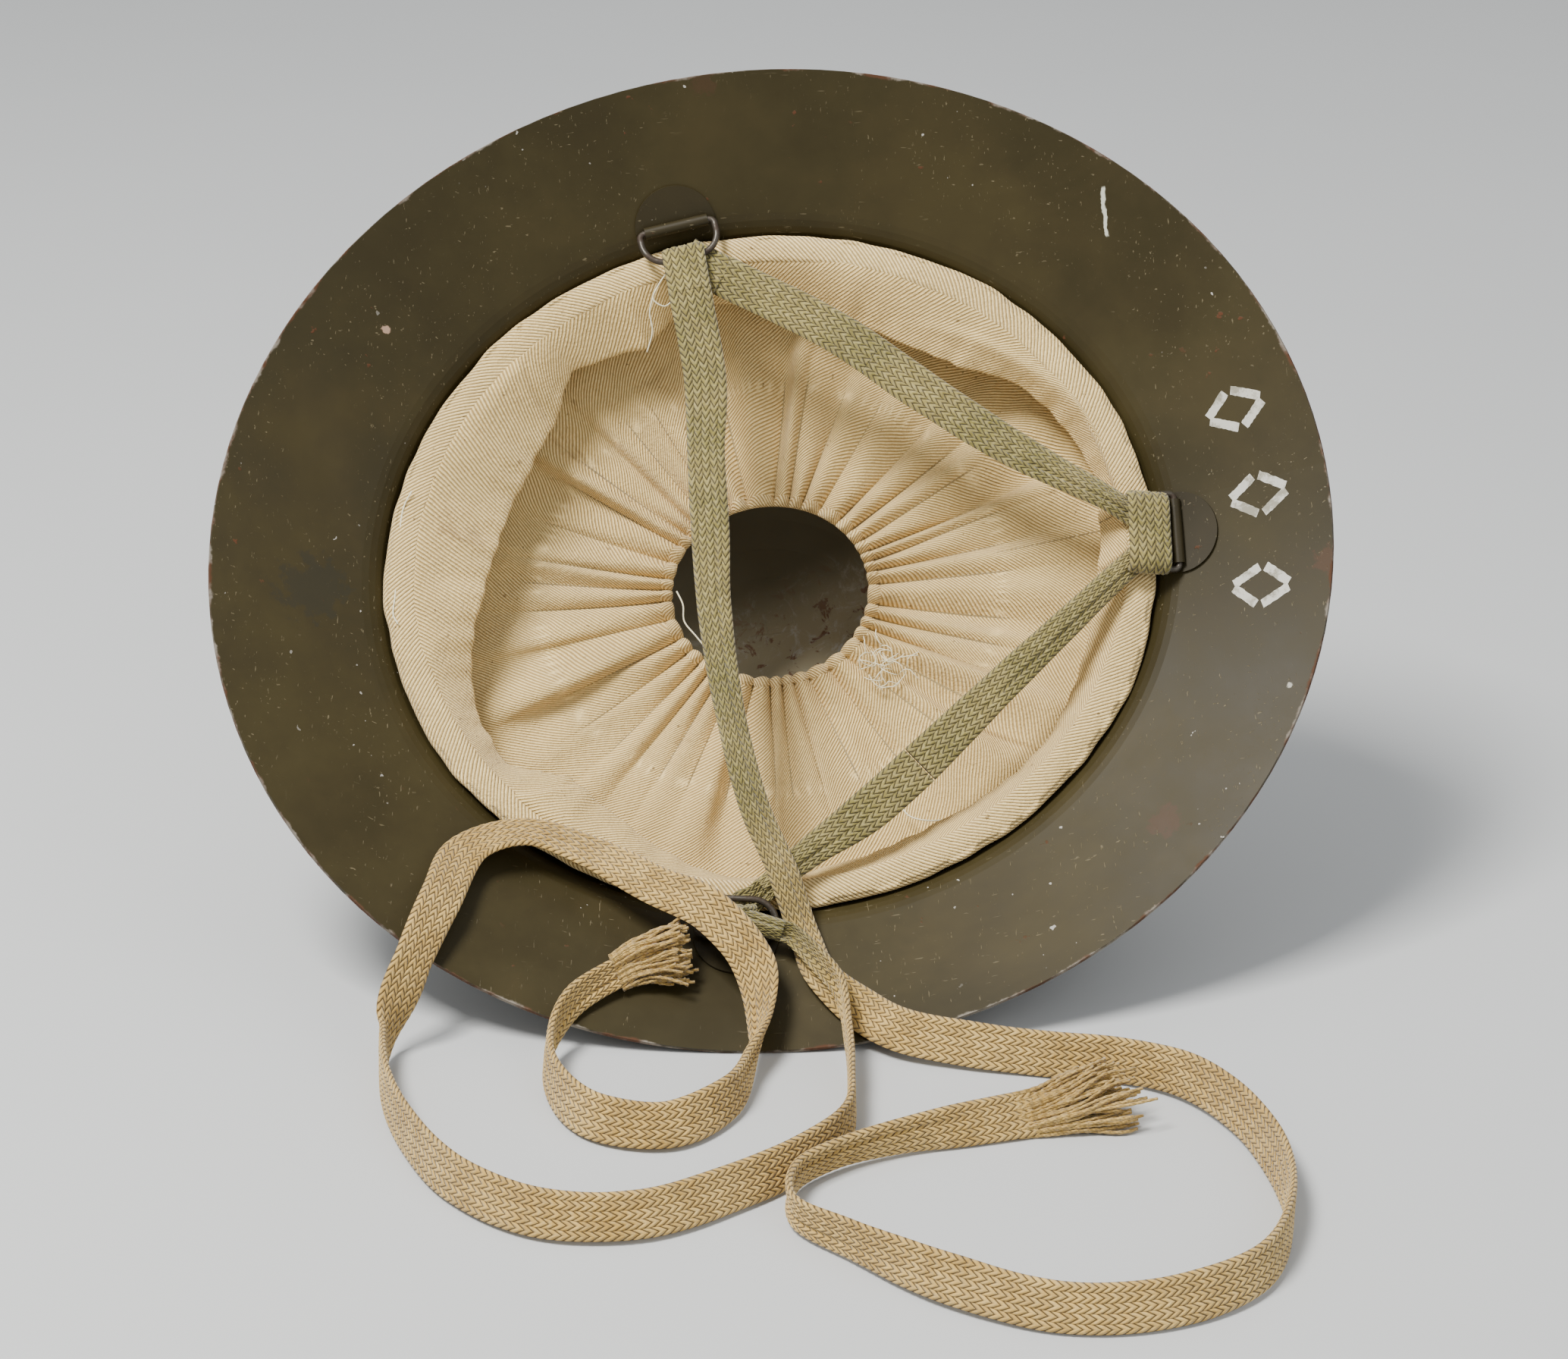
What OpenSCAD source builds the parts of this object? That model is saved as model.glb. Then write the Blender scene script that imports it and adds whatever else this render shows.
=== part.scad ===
// A wide-brimmed steel helmet of the medical service, lying on its dome and
// on the lower edge of its brim, open towards the viewer, with its cotton
// liner, three hinged D-rings and one long braided tape laced through them.
//
// Helmet frame: the brim's edge lies in z = 0, the crown is at +z, the rear
// is at +x, and the wearer's right is at +y. place() stands the helmet up as
// it lies on a table, with the table in z = 0. The tape's routes are given
// in that standing frame. All sizes are in millimetres.

/* [Shell] */
// Length of the shell over the brim, front to rear
shell_l = 322; // [300:1:345]
// Width of the shell over the brim
shell_w = 287; // [270:1:300]
// Height of the crown above the brim's edge
shell_h = 124; // [115:1:135]
// Thickness of the steel sheet
sheet_t = 1.2; // [0.8:0.1:1.6]
// Slope of the brim
brim_a = 28; // [22:1:33]
// Radius of the crown
crown_r = 160; // [145:1:180]
// Radius of the shoulder between crown and wall
shoulder_r = 70; // [62:1:76]
// Angle at which the crown passes into the shoulder
shoulder_a = 64; // [60:1:68]
// Lean of the bowl's wall from upright
wall_a = 10; // [6:1:14]
// Radius of the flare between wall and brim
flare_r = 14; // [10:0.5:18]

/* [Lie] */
// Turn of the helmet about its own axis as it lies
roll_a = -8.5; // [-15:0.5:0]

/* [D-rings] */
// Width of a ring over its wire
ring_w = 24.5; // [22:0.5:28]
// Depth from the hinge line to the far wire's centre
ring_d = 10.5; // [9.5:0.5:13]
// Diameter of the ring's wire
wire_d = 1.9; // [1.5:0.1:2.4]
// Bend radius of the corners at the hinge
near_r = 1.6; // [1.4:0.1:2.2]
// Bend radius of the far corners
far_r = 7; // [6:0.5:8]
// Lift of a resting ring out of the brim plane
ring_lift = 8; // [4:1:12]
// Direction of the left ring, seen from the rear
left_a = -96.5; // [-104:0.5:-90]
// Direction of the right ring, seen from the rear
right_a = 104.5; // [98:0.5:110]
// Direction of the rear ring
rear_a = 4.5; // [-5:0.5:8]

/* [Brackets] */
// Gap from the liner's lip to the left and rear hinge lines, along the length
hinge_gap = 6.404384; // [4:0.1:10]
// How much further out the right hinge line lies
right_hinge_out = 4; // [0:0.5:6]
// Radius of the half-round plate
plate_r = 12; // [10:0.5:15]
// Thickness of the plate and of the rolled knuckle
plate_t = 0.8; // [0.6:0.1:1]
// Length of the knuckle
knuckle_l = 19; // [15:0.5:19]
// Radial running clearance of the wire in the knuckle
pin_gap = 0.05; // [0.03:0.01:0.1]
// Paint film between plate and shell
paint_t = 0.1; // [0.05:0.01:0.2]
// Height of the knuckle over the paint
knuckle_lift = 0.3; // [0.2:0.05:0.5]

/* [Liner] */
// Height of the stiff hoop inside the liner's edge
hoop_h = 18; // [14:1:22]
// Thickness of the hoop
hoop_t = 1.4; // [1:0.1:2]
// Gap from the hoop to the wall at the hoop's deep end
hoop_gap = 3; // [2.6:0.1:4]
// Height of the hoop's near end above the corner of wall and brim
hoop_up = 2.034516; // [1:0.1:4]
// Thickness of the doubled cloth
cloth_t = 1.2; // [0.8:0.1:1.6]
// Clearance between a soft piece and its neighbour
soft_gap = 0.15; // [0.1:0.05:0.3]
// Drop of the liner's lip below the hoop's near end
lip_drop = 3.6; // [3:0.1:5]
// Reach of the lip over the flare, from the hoop
lip_over = 6.8; // [5:0.2:7.4]
// Drop of the folded band from the lip to its free edge
band_drop = 8; // [4:1:12]
// Length of the hole in the crown cloth
hole_l = 62; // [50:1:75]
// Width of the hole in the crown cloth
hole_w = 55; // [45:1:68]
// Height of the crown cloth's hole above the hoop's near end
hole_up = 31; // [25:1:39]
// Number of pleats gathered at the hole
pleats = 36; // [24:1:40]
// Depth of a pleat at the hole
pleat_d = 1.6; // [0.6:0.1:2]
// Diameter of the drawstring
string_d = 2; // [1.5:0.1:2.5]

/* [Spring tabs] */
// Thickness of the spring tabs that hold the liner
tab_t = 0.7; // [0.5:0.1:0.9]
// Width of a spring tab as an angle about the helmet's axis
tab_w = 6; // [4:0.5:10]
// Height of a spring tab
tab_h = 13; // [10:1:15]

/* [Tape] */
// Width of the flat braided tape
tape_w = 12.5; // [11:0.5:14]
// Thickness of the tape
tape_t = 2.2; // [1.8:0.1:2.6]
// Play between the tape and the ring's wire
wrap_gap = 0.35; // [0.3:0.05:0.5]
// Width over the bight on the rear ring
bight_w = 25; // [22:0.5:28]
// Depth of the bight on the rear ring
bight_d = 13; // [11:0.5:15]

/* [Hidden] */

// Colours, as the photograph shows them
paint = [0.29, 0.25, 0.16];
dark_paint = [0.24, 0.22, 0.15];
steel = [0.25, 0.24, 0.22];
cotton = [0.84, 0.77, 0.62];
fibre = [0.45, 0.34, 0.22];
green_tape = [0.50, 0.48, 0.30];
tan_tape = [0.67, 0.56, 0.36];

// Shell outline, half of it, from the crown down to the brim's edge. Its
// radii run along the length, and ratio squeezes them across the width.
rim_r = shell_l / 2;
ratio = shell_w / shell_l;
brim_t = tan(brim_a);
crown_c = [0, shell_h - crown_r];
shoulder_c = crown_c + (crown_r - shoulder_r) * [cos(shoulder_a), sin(shoulder_a)];
wall_top = shoulder_c + shoulder_r * [cos(wall_a), sin(wall_a)];
wall_dir = [sin(wall_a), -cos(wall_a)];
brim_dir = [cos(brim_a), -sin(brim_a)];
// Corner where the wall's line meets the brim's line
wall_run = (wall_top.y - (rim_r - wall_top.x) * brim_t)
    / (cos(wall_a) - sin(wall_a) * brim_t);
corner = wall_top + wall_run * wall_dir;
flare_run = flare_r * tan((90 - wall_a - brim_a) / 2);
flare_c = corner - flare_run * wall_dir + flare_r * [cos(wall_a), sin(wall_a)];

function arc(c, r, from, to, n) =
    [for (i = [0:n]) c + r * [cos(from + (to - from) * i / n), sin(from + (to - from) * i / n)]];
// The outline at a depth d under the outer face
function outline(d) = concat(
    arc(crown_c, crown_r - d, 90, shoulder_a, 7),
    arc(shoulder_c, shoulder_r - d, shoulder_a, wall_a, 11),
    arc(flare_c, flare_r + d, 180 + wall_a, 270 - brim_a, 6),
    [[rim_r - d * sin(brim_a), -d * cos(brim_a)]]);
outer = outline(0);
inner = outline(sheet_t);
function reverse(v) = [for (i = [len(v) - 1:-1:0]) v[i]];
// Radius of the wall's inner face at a height
function wall_in(z) = wall_top.x + (wall_top.y - z) * tan(wall_a) - sheet_t / cos(wall_a);
// Height of the brim's inner face at a radius
function brim_in(r) = (rim_r - r) * brim_t - sheet_t / cos(brim_a);

// How the helmet lies: its table touches the brim's edge and the dome
side = sqrt(pow(sin(roll_a), 2) + pow(ratio * cos(roll_a), 2));
rest_a = max([for (p = outer) if (p.x < rim_r - 1) atan2(p.y, side * (rim_r - p.x))]);
front_y = -cos(rest_a) * side * rim_r;
back_y = max([for (p = outer) cos(rest_a) * side * p.x + sin(rest_a) * p.y]);
mid_y = (front_y + back_y) / 2;
axis_z = sin(rest_a) * side * rim_r;

function unit(v) = v / norm(v);
function rot_x(a, p) = [p.x, p.y * cos(a) - p.z * sin(a), p.y * sin(a) + p.z * cos(a)];
function rot_y(a, p) = [p.x * cos(a) + p.z * sin(a), p.y, p.z * cos(a) - p.x * sin(a)];
function rot_z(a, p) = [p.x * cos(a) - p.y * sin(a), p.x * sin(a) + p.y * cos(a), p.z];
function stood(p) = rot_x(rest_a - 180, rot_z(roll_a, p)) + [0, -mid_y, axis_z];
function unstood(p) = rot_z(-roll_a, rot_x(180 - rest_a, p - [0, -mid_y, axis_z]));
module place() {
    translate([0, -mid_y, axis_z]) rotate([rest_a - 180, 0, 0]) rotate([0, 0, roll_a]) children();
}
// Squeezes a turned piece across the helmet's width
module oval() { scale([1, ratio, 1]) children(); }

// Liner, whose lip sets how far out the hinge lines lie
hoop_z = corner.y + hoop_up;
lip_z = hoop_z - lip_drop;
hole_z = hoop_z + hole_up;
hoop_r = wall_in(hoop_z + hoop_h) - hoop_gap;
casing_in = hoop_r - hoop_t - cloth_t - 2 * soft_gap;
casing_out = hoop_r + cloth_t + 2 * soft_gap;
lip_r = hoop_r + lip_over;
casing_top = hoop_z + hoop_h + cloth_t + soft_gap;
hole_r = hole_l / 2;
hole_ratio = hole_w / hole_l;
hinge_r = lip_r + hinge_gap;
right_hinge_r = hinge_r + right_hinge_out;

// Hinge places [t, r]. A ring's direction becomes the ellipse's own angle t.
function t_of(a) = atan2(sin(a) / ratio, cos(a));
left_h = [t_of(left_a), hinge_r];
right_h = [t_of(right_a), right_hinge_r];
rear_h = [t_of(rear_a), hinge_r];
function facing(h) = atan2(sin(h.x) / ratio, cos(h.x));
function slope(h) = atan(brim_t * sqrt(pow(cos(h.x), 2) + pow(sin(h.x) / ratio, 2)));
function seat(h) = [h.y * cos(h.x), ratio * h.y * sin(h.x), brim_in(h.y)];
knuckle_d = wire_d + 2 * pin_gap + 2 * plate_t;
function hinge(h) = seat(h)
    + rot_z(facing(h), rot_y(slope(h), [0, 0, -paint_t - knuckle_lift - knuckle_d / 2]));
module at_seat(h) { translate(seat(h)) rotate([0, slope(h), facing(h)]) children(); }
module at_hinge(h) { translate(hinge(h)) rotate([0, 0, facing(h)]) children(); }
// A ring's frame: hinge line along y, ring towards -x, viewer towards -z
module at_ring(h) { at_hinge(h) rotate([0, -ring_lift, 0]) children(); }
function ring_pt(h, p) = stood(hinge(h) + rot_z(facing(h), rot_y(-ring_lift, p)));
function in_ring(h, p) = rot_y(ring_lift, rot_z(-facing(h), unstood(p) - hinge(h)));

// Tape
wrap_in = wire_d / 2 + wrap_gap;
wrap_out = wrap_in + tape_t;
web_x = ring_d - wrap_out;
leg_l = 14;
short_leg_l = 7.5;
// Where the cross tape ends before the right ring, from the ring's web
right_end_l = 8;
// Gap between a tape on a ring and the tape that goes on from it
leg_gap = 0.4;
// Width that is left of a tape folded inside a ring's eye
hitch_fold = 0.6;
// How far the bight's web reaches into the bight
web_in = 0.1;

// Turned a quarter at a time
module shell() {
    color(paint) place() oval() for (q = [0:90:270]) rotate([0, 0, q])
        rotate_extrude(angle = 90, $fn = 96) polygon(concat(outer, reverse(inner)));
}

// Bracket: a half-round plate under the paint and a rolled knuckle
module bracket(h) {
    color(dark_paint) place() difference() {
        union() {
            intersection() {
                oval() rotate_extrude($fn = 96) plate_skin(h.y);
                at_seat(h) intersection() {
                    cylinder(r = plate_r, h = 12, center = true, $fn = 64);
                    translate([0, -plate_r - 1, -6]) cube([plate_r + 1, 2 * plate_r + 2, 12]);
                }
            }
            at_hinge(h) rotate([90, 0, 0])
                cylinder(d = knuckle_d, h = knuckle_l, center = true, $fn = 32);
        }
        at_hinge(h) rotate([90, 0, 0])
            cylinder(d = wire_d + 2 * pin_gap, h = knuckle_l + 2, center = true, $fn = 32);
    }
}
module plate_skin(r) {
    near = r - 4;
    far = r + plate_r + 4;
    down = [-sin(brim_a), -cos(brim_a)];
    a = [near, brim_in(near)];
    b = [far, brim_in(far)];
    polygon([a + paint_t * down, b + paint_t * down,
        b + (paint_t + plate_t) * down, a + (paint_t + plate_t) * down]);
}

// D-ring: bar, two tight corners, two wide corners and the far wire
ring_half = (ring_w - wire_d) / 2;
module bend(r) { rotate_extrude(angle = 90, $fn = 48) translate([r, 0]) circle(d = wire_d, $fn = 24); }
module rod(l) { rotate([90, 0, 0]) cylinder(d = wire_d, h = l, center = true, $fn = 24); }
module d_ring(h) {
    run = ring_d - near_r - far_r;
    color(steel) place() at_ring(h) {
        rod(2 * (ring_half - near_r));
        translate([-ring_d, 0, 0]) rod(2 * (ring_half - far_r));
        for (s = [-1, 1]) {
            translate([-near_r, s * (ring_half - near_r), 0])
                rotate([0, 0, s > 0 ? 0 : -90]) bend(near_r);
            translate([-ring_d + far_r, s * (ring_half - far_r), 0])
                rotate([0, 0, s > 0 ? 90 : 180]) bend(far_r);
            if (run > 0.01) translate([-near_r - run / 2, s * ring_half, 0]) rotate([0, 0, 90]) rod(run);
        }
    }
}

// Stiff hoop hidden in the liner's edge
module liner_hoop() {
    color(fibre) place() oval() rotate_extrude($fn = 96)
        translate([hoop_r - hoop_t, hoop_z]) square([hoop_t, hoop_h]);
}

// Four bowed leaf springs between the liner and the wall
tab_z = hoop_z + hoop_h - tab_h - 1;
module spring_tabs() {
    bow = [for (i = [0:8])
        let (z = tab_z + tab_h * i / 8, wall = wall_in(z) - soft_gap, cloth = casing_out + soft_gap,
            k = pow(abs(i - 4) / 4, 2))
        [k * (wall - tab_t) + (1 - k) * cloth, z]];
    back = [for (p = reverse(bow)) p + [tab_t, 0]];
    color(steel) place() oval() for (a = [45:90:315])
        rotate([0, 0, a - tab_w / 2]) rotate_extrude(angle = tab_w, $fn = 96) polygon(concat(bow, back));
}

// Cloth casing with its rounded lip, closed round the hoop
module liner_casing() {
    color(cotton) place() oval() rotate_extrude($fn = 96) difference() {
        polygon([[casing_in, lip_z + 1], [casing_in + 1, lip_z], [lip_r - 1.2, lip_z],
            [lip_r, lip_z + 0.9], [lip_r, lip_z + 1.8], [lip_r - 2, lip_z + 3.4],
            [casing_out, lip_z + 5], [casing_out, casing_top], [casing_in, casing_top]]);
        translate([hoop_r - hoop_t - soft_gap, hoop_z - soft_gap])
            square([hoop_t + 2 * soft_gap, hoop_h + 2 * soft_gap]);
    }
}

// Closed cloth ring from rows of points, near face first, then far face.
// front and back are lists of rows, and a row is a closed loop.
module cloth_ring(front, back) {
    rows = len(front);
    n = len(front[0]);
    pts = [for (side = [front, back]) for (row = side) for (p = row) p];
    function id(side, i, j) = side * rows * n + i * n + j % n;
    faces = concat(
        [for (i = [0:rows - 2]) for (j = [0:n - 1])
            each [[id(0, i, j), id(0, i, j + 1), id(0, i + 1, j)],
                [id(0, i + 1, j), id(0, i, j + 1), id(0, i + 1, j + 1)],
                [id(1, i, j), id(1, i + 1, j), id(1, i, j + 1)],
                [id(1, i + 1, j), id(1, i + 1, j + 1), id(1, i, j + 1)]]],
        [for (j = [0:n - 1])
            each [[id(0, 0, j), id(1, 0, j), id(0, 0, j + 1)],
                [id(0, 0, j + 1), id(1, 0, j), id(1, 0, j + 1)],
                [id(0, rows - 1, j), id(0, rows - 1, j + 1), id(1, rows - 1, j)],
                [id(0, rows - 1, j + 1), id(1, rows - 1, j + 1), id(1, rows - 1, j)]]]);
    polyhedron(points = pts, faces = faces);
}

// Free edge of the folded band: [angle, radius as a share of the hoop's, extra drop]
band_edge = [[0, 0.93, 1], [15, 0.90, 0], [30, 0.92, 2], [45, 0.94, 1], [70, 0.92, 0],
    [90, 0.94, -1], [105, 0.96, -2], [115, 0.92, 0], [128, 0.86, 2], [140, 0.83, 3],
    [150, 0.93, 0], [162, 0.91, 1], [173, 0.86, 0], [185, 0.80, -1], [197, 0.77, 0],
    [215, 0.76, 2], [228, 0.79, 3], [238, 0.87, 0], [253, 0.82, 1], [262, 0.90, 1],
    [275, 0.88, 2], [290, 0.85, 3], [305, 0.82, 1], [317, 0.83, -1], [328, 0.91, 1],
    [340, 0.94, 2], [352, 0.95, 1], [360, 0.93, 1]];
function band_share(a) = lookup(a, [for (e = band_edge) [e.x, e.y]]);
function band_extra(a) = lookup(a, [for (e = band_edge) [e.x, e.z]]);
// Cloth band folded in over the hoop, hanging free inside
module folded_band() {
    n = 90;
    start = casing_in - soft_gap;
    function row(k, dz) = [for (j = [0:n - 1])
        let (a = 360 * j / n, r = start + k * (band_share(a) * hoop_r - start),
            z = lip_z + 1 + (band_drop + band_extra(a)) * pow(k, 1.3) + dz)
        [r * cos(a), ratio * r * sin(a), z]];
    steps = [0, 0.35, 0.7, 1];
    color(cotton) place() cloth_ring([for (k = steps) row(k, 0)], [for (k = steps) row(k, cloth_t)]);
}

// Crown cloth, flat at the casing and gathered in pleats at its hole
module crown_cloth() {
    n = pleats * 4;
    r0 = casing_in - soft_gap;
    z0 = casing_top - cloth_t;
    r1 = hole_r + string_d / 2 + soft_gap;
    function row(k, dz) = [for (j = [0:n - 1])
        let (a = 360 * j / n, r = r0 + k * (r1 - r0), squeeze = ratio + k * (hole_ratio - ratio),
            fold = pleat_d * pow(k, 2) * sin(a * pleats),
            z = z0 + (hole_z - z0) * sin(90 * k) + fold + dz)
        [r * cos(a), squeeze * r * sin(a), z]];
    steps = [0, 0.4, 0.75, 1];
    color(cotton) place() cloth_ring([for (k = steps) row(k, 0)], [for (k = steps) row(k, cloth_t)]);
}

// Drawstring that gathers the crown cloth
module drawstring() {
    function row(b, up) = [for (a = [0:6:354])
        let (d = string_d / 2 * cos(b), z = string_d / 2 * sin(b))
        [(hole_r + d) * cos(a), (hole_w / 2 + d) * sin(a), hole_z + cloth_t / 2 + up * z]];
    steps = [22.5:45:157.5];
    color(cotton) place() cloth_ring([for (b = steps) row(b, -1)], [for (b = steps) row(b, 1)]);
}

// One flat leg of tape from the ring's eye, in the ring's frame. turn bends
// it in the ring's plane, near is true on the viewer's side, y shifts it.
module leg(turn, near, y, fold, l = leg_l) {
    w = tape_w * fold;
    h = tape_t / fold;
    translate([-web_x - tape_t / 2, y, near ? -wrap_in - h : wrap_in]) rotate([0, 0, turn])
        translate([-l, -w / 2, 0]) cube([l + tape_t / 2, w, h]);
}
// Where a leg starts on its web, and the turn that points it at a place
function leg_root(y, v) = [-web_x - tape_t / 2, y, v];
function aim(h, y, p) = let (d = in_ring(h, p) - leg_root(y, 0)) atan2(-d.y, -d.x);
// Middle of a leg's end, one gap further on, standing
function leg_end(h, turn, near, y, fold, l = leg_l) =
    let (v = (near ? -1 : 1) * (wrap_in + tape_t / fold / 2))
    ring_pt(h, leg_root(y, v) + rot_z(turn, [-l - leg_gap, 0, 0]));

bight_y = 4;
right_leg_y = 2;
// First point of the chin tape's route below the left ring, standing
chin_top = [-19, 20, 155];
left_turn_low = aim(left_h, 0, ring_pt(rear_h, leg_root(-bight_y, 0)));
left_turn_up = aim(left_h, 0, chin_top);
right_turn_low = aim(right_h, -right_leg_y, ring_pt(rear_h, leg_root(bight_y, 0)));
rear_turn_a = aim(rear_h, -bight_y, ring_pt(left_h, leg_root(0, 0)));
rear_turn_b = aim(rear_h, bight_y, ring_pt(right_h, leg_root(-right_leg_y, 0)));

// Tape turned round the left ring's far wire
module left_wrap() {
    color(green_tape) place() at_ring(left_h) {
        leg(left_turn_low, false, 0, 1);
        leg(left_turn_up, true, 0, 1);
        translate([-web_x - tape_t, -tape_w / 2, -wrap_out]) cube([tape_t, tape_w, 2 * wrap_out]);
    }
}

// Tape up through the right ring's eye, folded, and out over the hinge
exit_y = ring_w / 2 + 0.8;
exit_v = 5;
exit_turn = 15;
exit_l = (exit_y + 2) / cos(exit_turn);
// Where the tail's first rings lie, from the exit's end
exit_steps = [0.8, 3];
function exit_pt(l) = [-6, 2, -exit_v - tape_t] + rot_z(exit_turn, [0, -l, 0]);
module right_wrap() {
    w = tape_w / 2;
    h = 2 * tape_t;
    low = wrap_in + tape_t / hitch_fold;
    color(green_tape) place() at_ring(right_h) {
        leg(right_turn_low, false, -right_leg_y, hitch_fold, short_leg_l);
        translate([-web_x - tape_t, -tape_w / 2, -exit_v - h]) cube([tape_t, tape_w, exit_v + h + low]);
        translate(exit_pt(0)) rotate([0, 0, exit_turn])
            translate([-w / 2, -exit_l, -h / 2]) cube([w, exit_l, h]);
    }
}

// Bight laid over the rear ring, with both halves drawn through the eye
module rear_hitch() {
    low = wrap_in + tape_t / hitch_fold;
    color(green_tape) place() at_ring(rear_h) {
        translate([-bight_d - knuckle_d / 2 - leg_gap, -bight_w / 2, -wrap_out])
            cube([bight_d, bight_w, tape_t]);
        translate([-web_x - tape_t, -tape_w / 2, -wrap_in - web_in])
            cube([tape_t, tape_w, low + wrap_in + web_in]);
        leg(rear_turn_a, false, -bight_y, hitch_fold);
        leg(rear_turn_b, false, bight_y, hitch_fold);
    }
}

// A flat tape swept along route points [x, y, z, lean, fold]. lean turns its
// width from lying across the route and level (0) to upright (90), with up
// as the upward direction. fold below 1 is tape folded along its length.
function route_dir(r, i) =
    unit([for (k = [0:2]) r[min(i + 1, len(r) - 1)][k] - r[max(i - 1, 0)][k]]);
function tape_section(p, dir, up, wide) =
    let (h = unit(cross(up, dir)), m = cross(dir, h),
        w = cos(p[3]) * h + sin(p[3]) * m, n = cross(dir, w),
        a = tape_w * p[4] * wide / 2, b = tape_t / p[4] / 2, c = 0.6 * b, o = [p.x, p.y, p.z])
    [for (q = [[a, c - b], [a, b - c], [a - c, b], [c - a, b],
            [-a, b - c], [-a, c - b], [c - a, -b], [a - c, -b]])
        o + q.x * w + q.y * n];
module tape(route, up = [0, 0, 1], first = 0, last = -1, wides = []) {
    end = last < 0 ? len(route) - 1 : last;
    rings = [for (i = [first:end])
        tape_section(route[i], route_dir(route, i), up, len(wides) > 0 ? wides[i - first] : 1)];
    count = len(rings);
    faces = concat(
        [for (i = [0:count - 2]) for (j = [0:7]) let (a = i * 8 + j, b = i * 8 + (j + 1) % 8)
            each [[a, a + 8, b], [b, a + 8, b + 8]]],
        [for (j = [1:6]) [0, j, j + 1]],
        [for (j = [1:6]) let (o = (count - 1) * 8) [o, o + j + 1, o + j]]);
    polyhedron(points = [for (ring = rings) for (p = ring) p], faces = faces);
}
function with_lean(p, lean, fold) = [p.x, p.y, p.z, lean, fold];
opening = stood([0, 0, -1]) - stood([0, 0, 0]);

// Rear ring to left ring, across the upper right of the opening
left_cross = concat(
    [with_lean(leg_end(rear_h, rear_turn_a, false, -bight_y, hitch_fold), 0, hitch_fold)],
    [[70, 13, 137, 0, 0.9], [45, 22, 151, 0, 1], [20, 32, 166, 0, 1]],
    [with_lean(leg_end(left_h, left_turn_low, false, 0, 1), 0, 1)]);
// Rear ring to right ring, across the lower right of the opening
right_cross = concat(
    [with_lean(leg_end(rear_h, rear_turn_b, false, bight_y, hitch_fold), 0, hitch_fold)],
    [[71, -24, 82, 0, 0.8], [28, -47, 49, 0, 1], [9, -55, 38, 0, 0.7]],
    [with_lean(leg_end(right_h, right_turn_low, false, -right_leg_y, hitch_fold, right_end_l), 0,
        hitch_fold)]);
// Left ring down across the opening, over the brim and out in a loop to the right
across = concat(
    [with_lean(leg_end(left_h, left_turn_up, true, 0, 1), 0, 1)],
    [with_lean(chin_top, 5, 1), [-19, 9, 137, 10, 0.9], [-18, -3, 119, 10, 0.9],
        [-17, -16, 99, 15, 0.8], [-13, -33, 75, 15, 0.7],
        [-6, -50.5, 51.5, 20, 0.7], [2, -62, 36, 25, 0.7], [9, -71, 20, 20, 0.7],
        [14, -82.5, 14.8, 20, 0.8], [22, -93, 9.5, 30, 1], [33, -104, 8, 50, 1], [52, -111, 7, 60, 1],
        [72, -115, 6, 60, 1], [92, -119, 6, 60, 1], [109, -129, 7, 60, 1],
        [121, -147, 7, 65, 1], [128, -172, 6.2, 70, 1], [127, -200, 6.5, 90, 1],
        [116, -225, 7, 105, 1], [93, -238, 6.2, 120, 1],
        [66, -240, 6.2, 120, 1], [39, -228, 7, 120, 1], [16, -209, 6.5, 95, 0.9],
        [2, -194, 6, 90, 0.8], [3, -178, 6, 90, 0.8], [14, -167, 6, 100, 0.8],
        [32, -158, 6, 120, 0.8], [65, -147, 5.5, 145, 0.8],
        [74, -144, 6, 155, 0.8], [83, -140, 6, 160, 0.9], [90, -137, 6, 160, 1]]);
cross_at = 8;
right_end_at = len(across) - 4;
// Right ring out along the brim, round a loop on the table, up over the brim
// and liner, down again, and round a small loop back onto the brim
exit_dir = ring_pt(right_h, exit_pt(1)) - ring_pt(right_h, exit_pt(0));
exit_w = ring_pt(right_h, rot_z(exit_turn, [-1, 0, 0])) - ring_pt(right_h, [0, 0, 0]);
exit_h = unit(cross([0, 0, 1], exit_dir));
exit_lean = atan2(exit_w * cross(exit_dir, exit_h), exit_w * exit_h);
left_route = concat(
    [for (l = exit_steps) with_lean(ring_pt(right_h, exit_pt(exit_l + l)), exit_lean, 0.5)],
    [[11, -84, 20, 75, 0.6], [17, -93, 16, 85, 0.7], [19, -109, 9.5, 90, 0.9],
        [19, -130, 7, 90, 1], [17, -152, 6.5, 95, 1], [4, -170, 6.5, 105, 1],
        [-12, -183, 6.5, 115, 1], [-36, -196, 6.5, 125, 1],
        [-62, -195, 6.5, 125, 1], [-84, -179, 6.5, 115, 1], [-99, -153, 6.5, 105, 1],
        [-107, -127, 7, 95, 1], [-108, -105, 9, 85, 1], [-101, -95, 26, 60, 1],
        [-94, -79, 37, 40, 1], [-87, -59, 43, 15, 1], [-71, -53, 45, 10, 1],
        [-52, -57, 40, 15, 1], [-35, -67, 35, 30, 1], [-19, -78, 32, 45, 1],
        [-7, -88, 21, 20, 1], [-5, -102, 11, 45, 0.8], [-8, -120, 7, 95, 0.8],
        [-14, -139, 7, 105, 1], [-30, -152, 6.5, 125, 1], [-50, -147, 6.5, 120, 1],
        [-61, -129, 6.5, 105, 1], [-63, -111, 8, 95, 0.9], [-57, -97, 14, 80, 0.8],
        [-43, -86, 18, 65, 0.7], [-37, -84, 20, 60, 0.8], [-31, -83, 21, 45, 0.9],
        [-25, -82, 21.5, 32, 1]]);
left_end_at = len(left_route) - 4;

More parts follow.
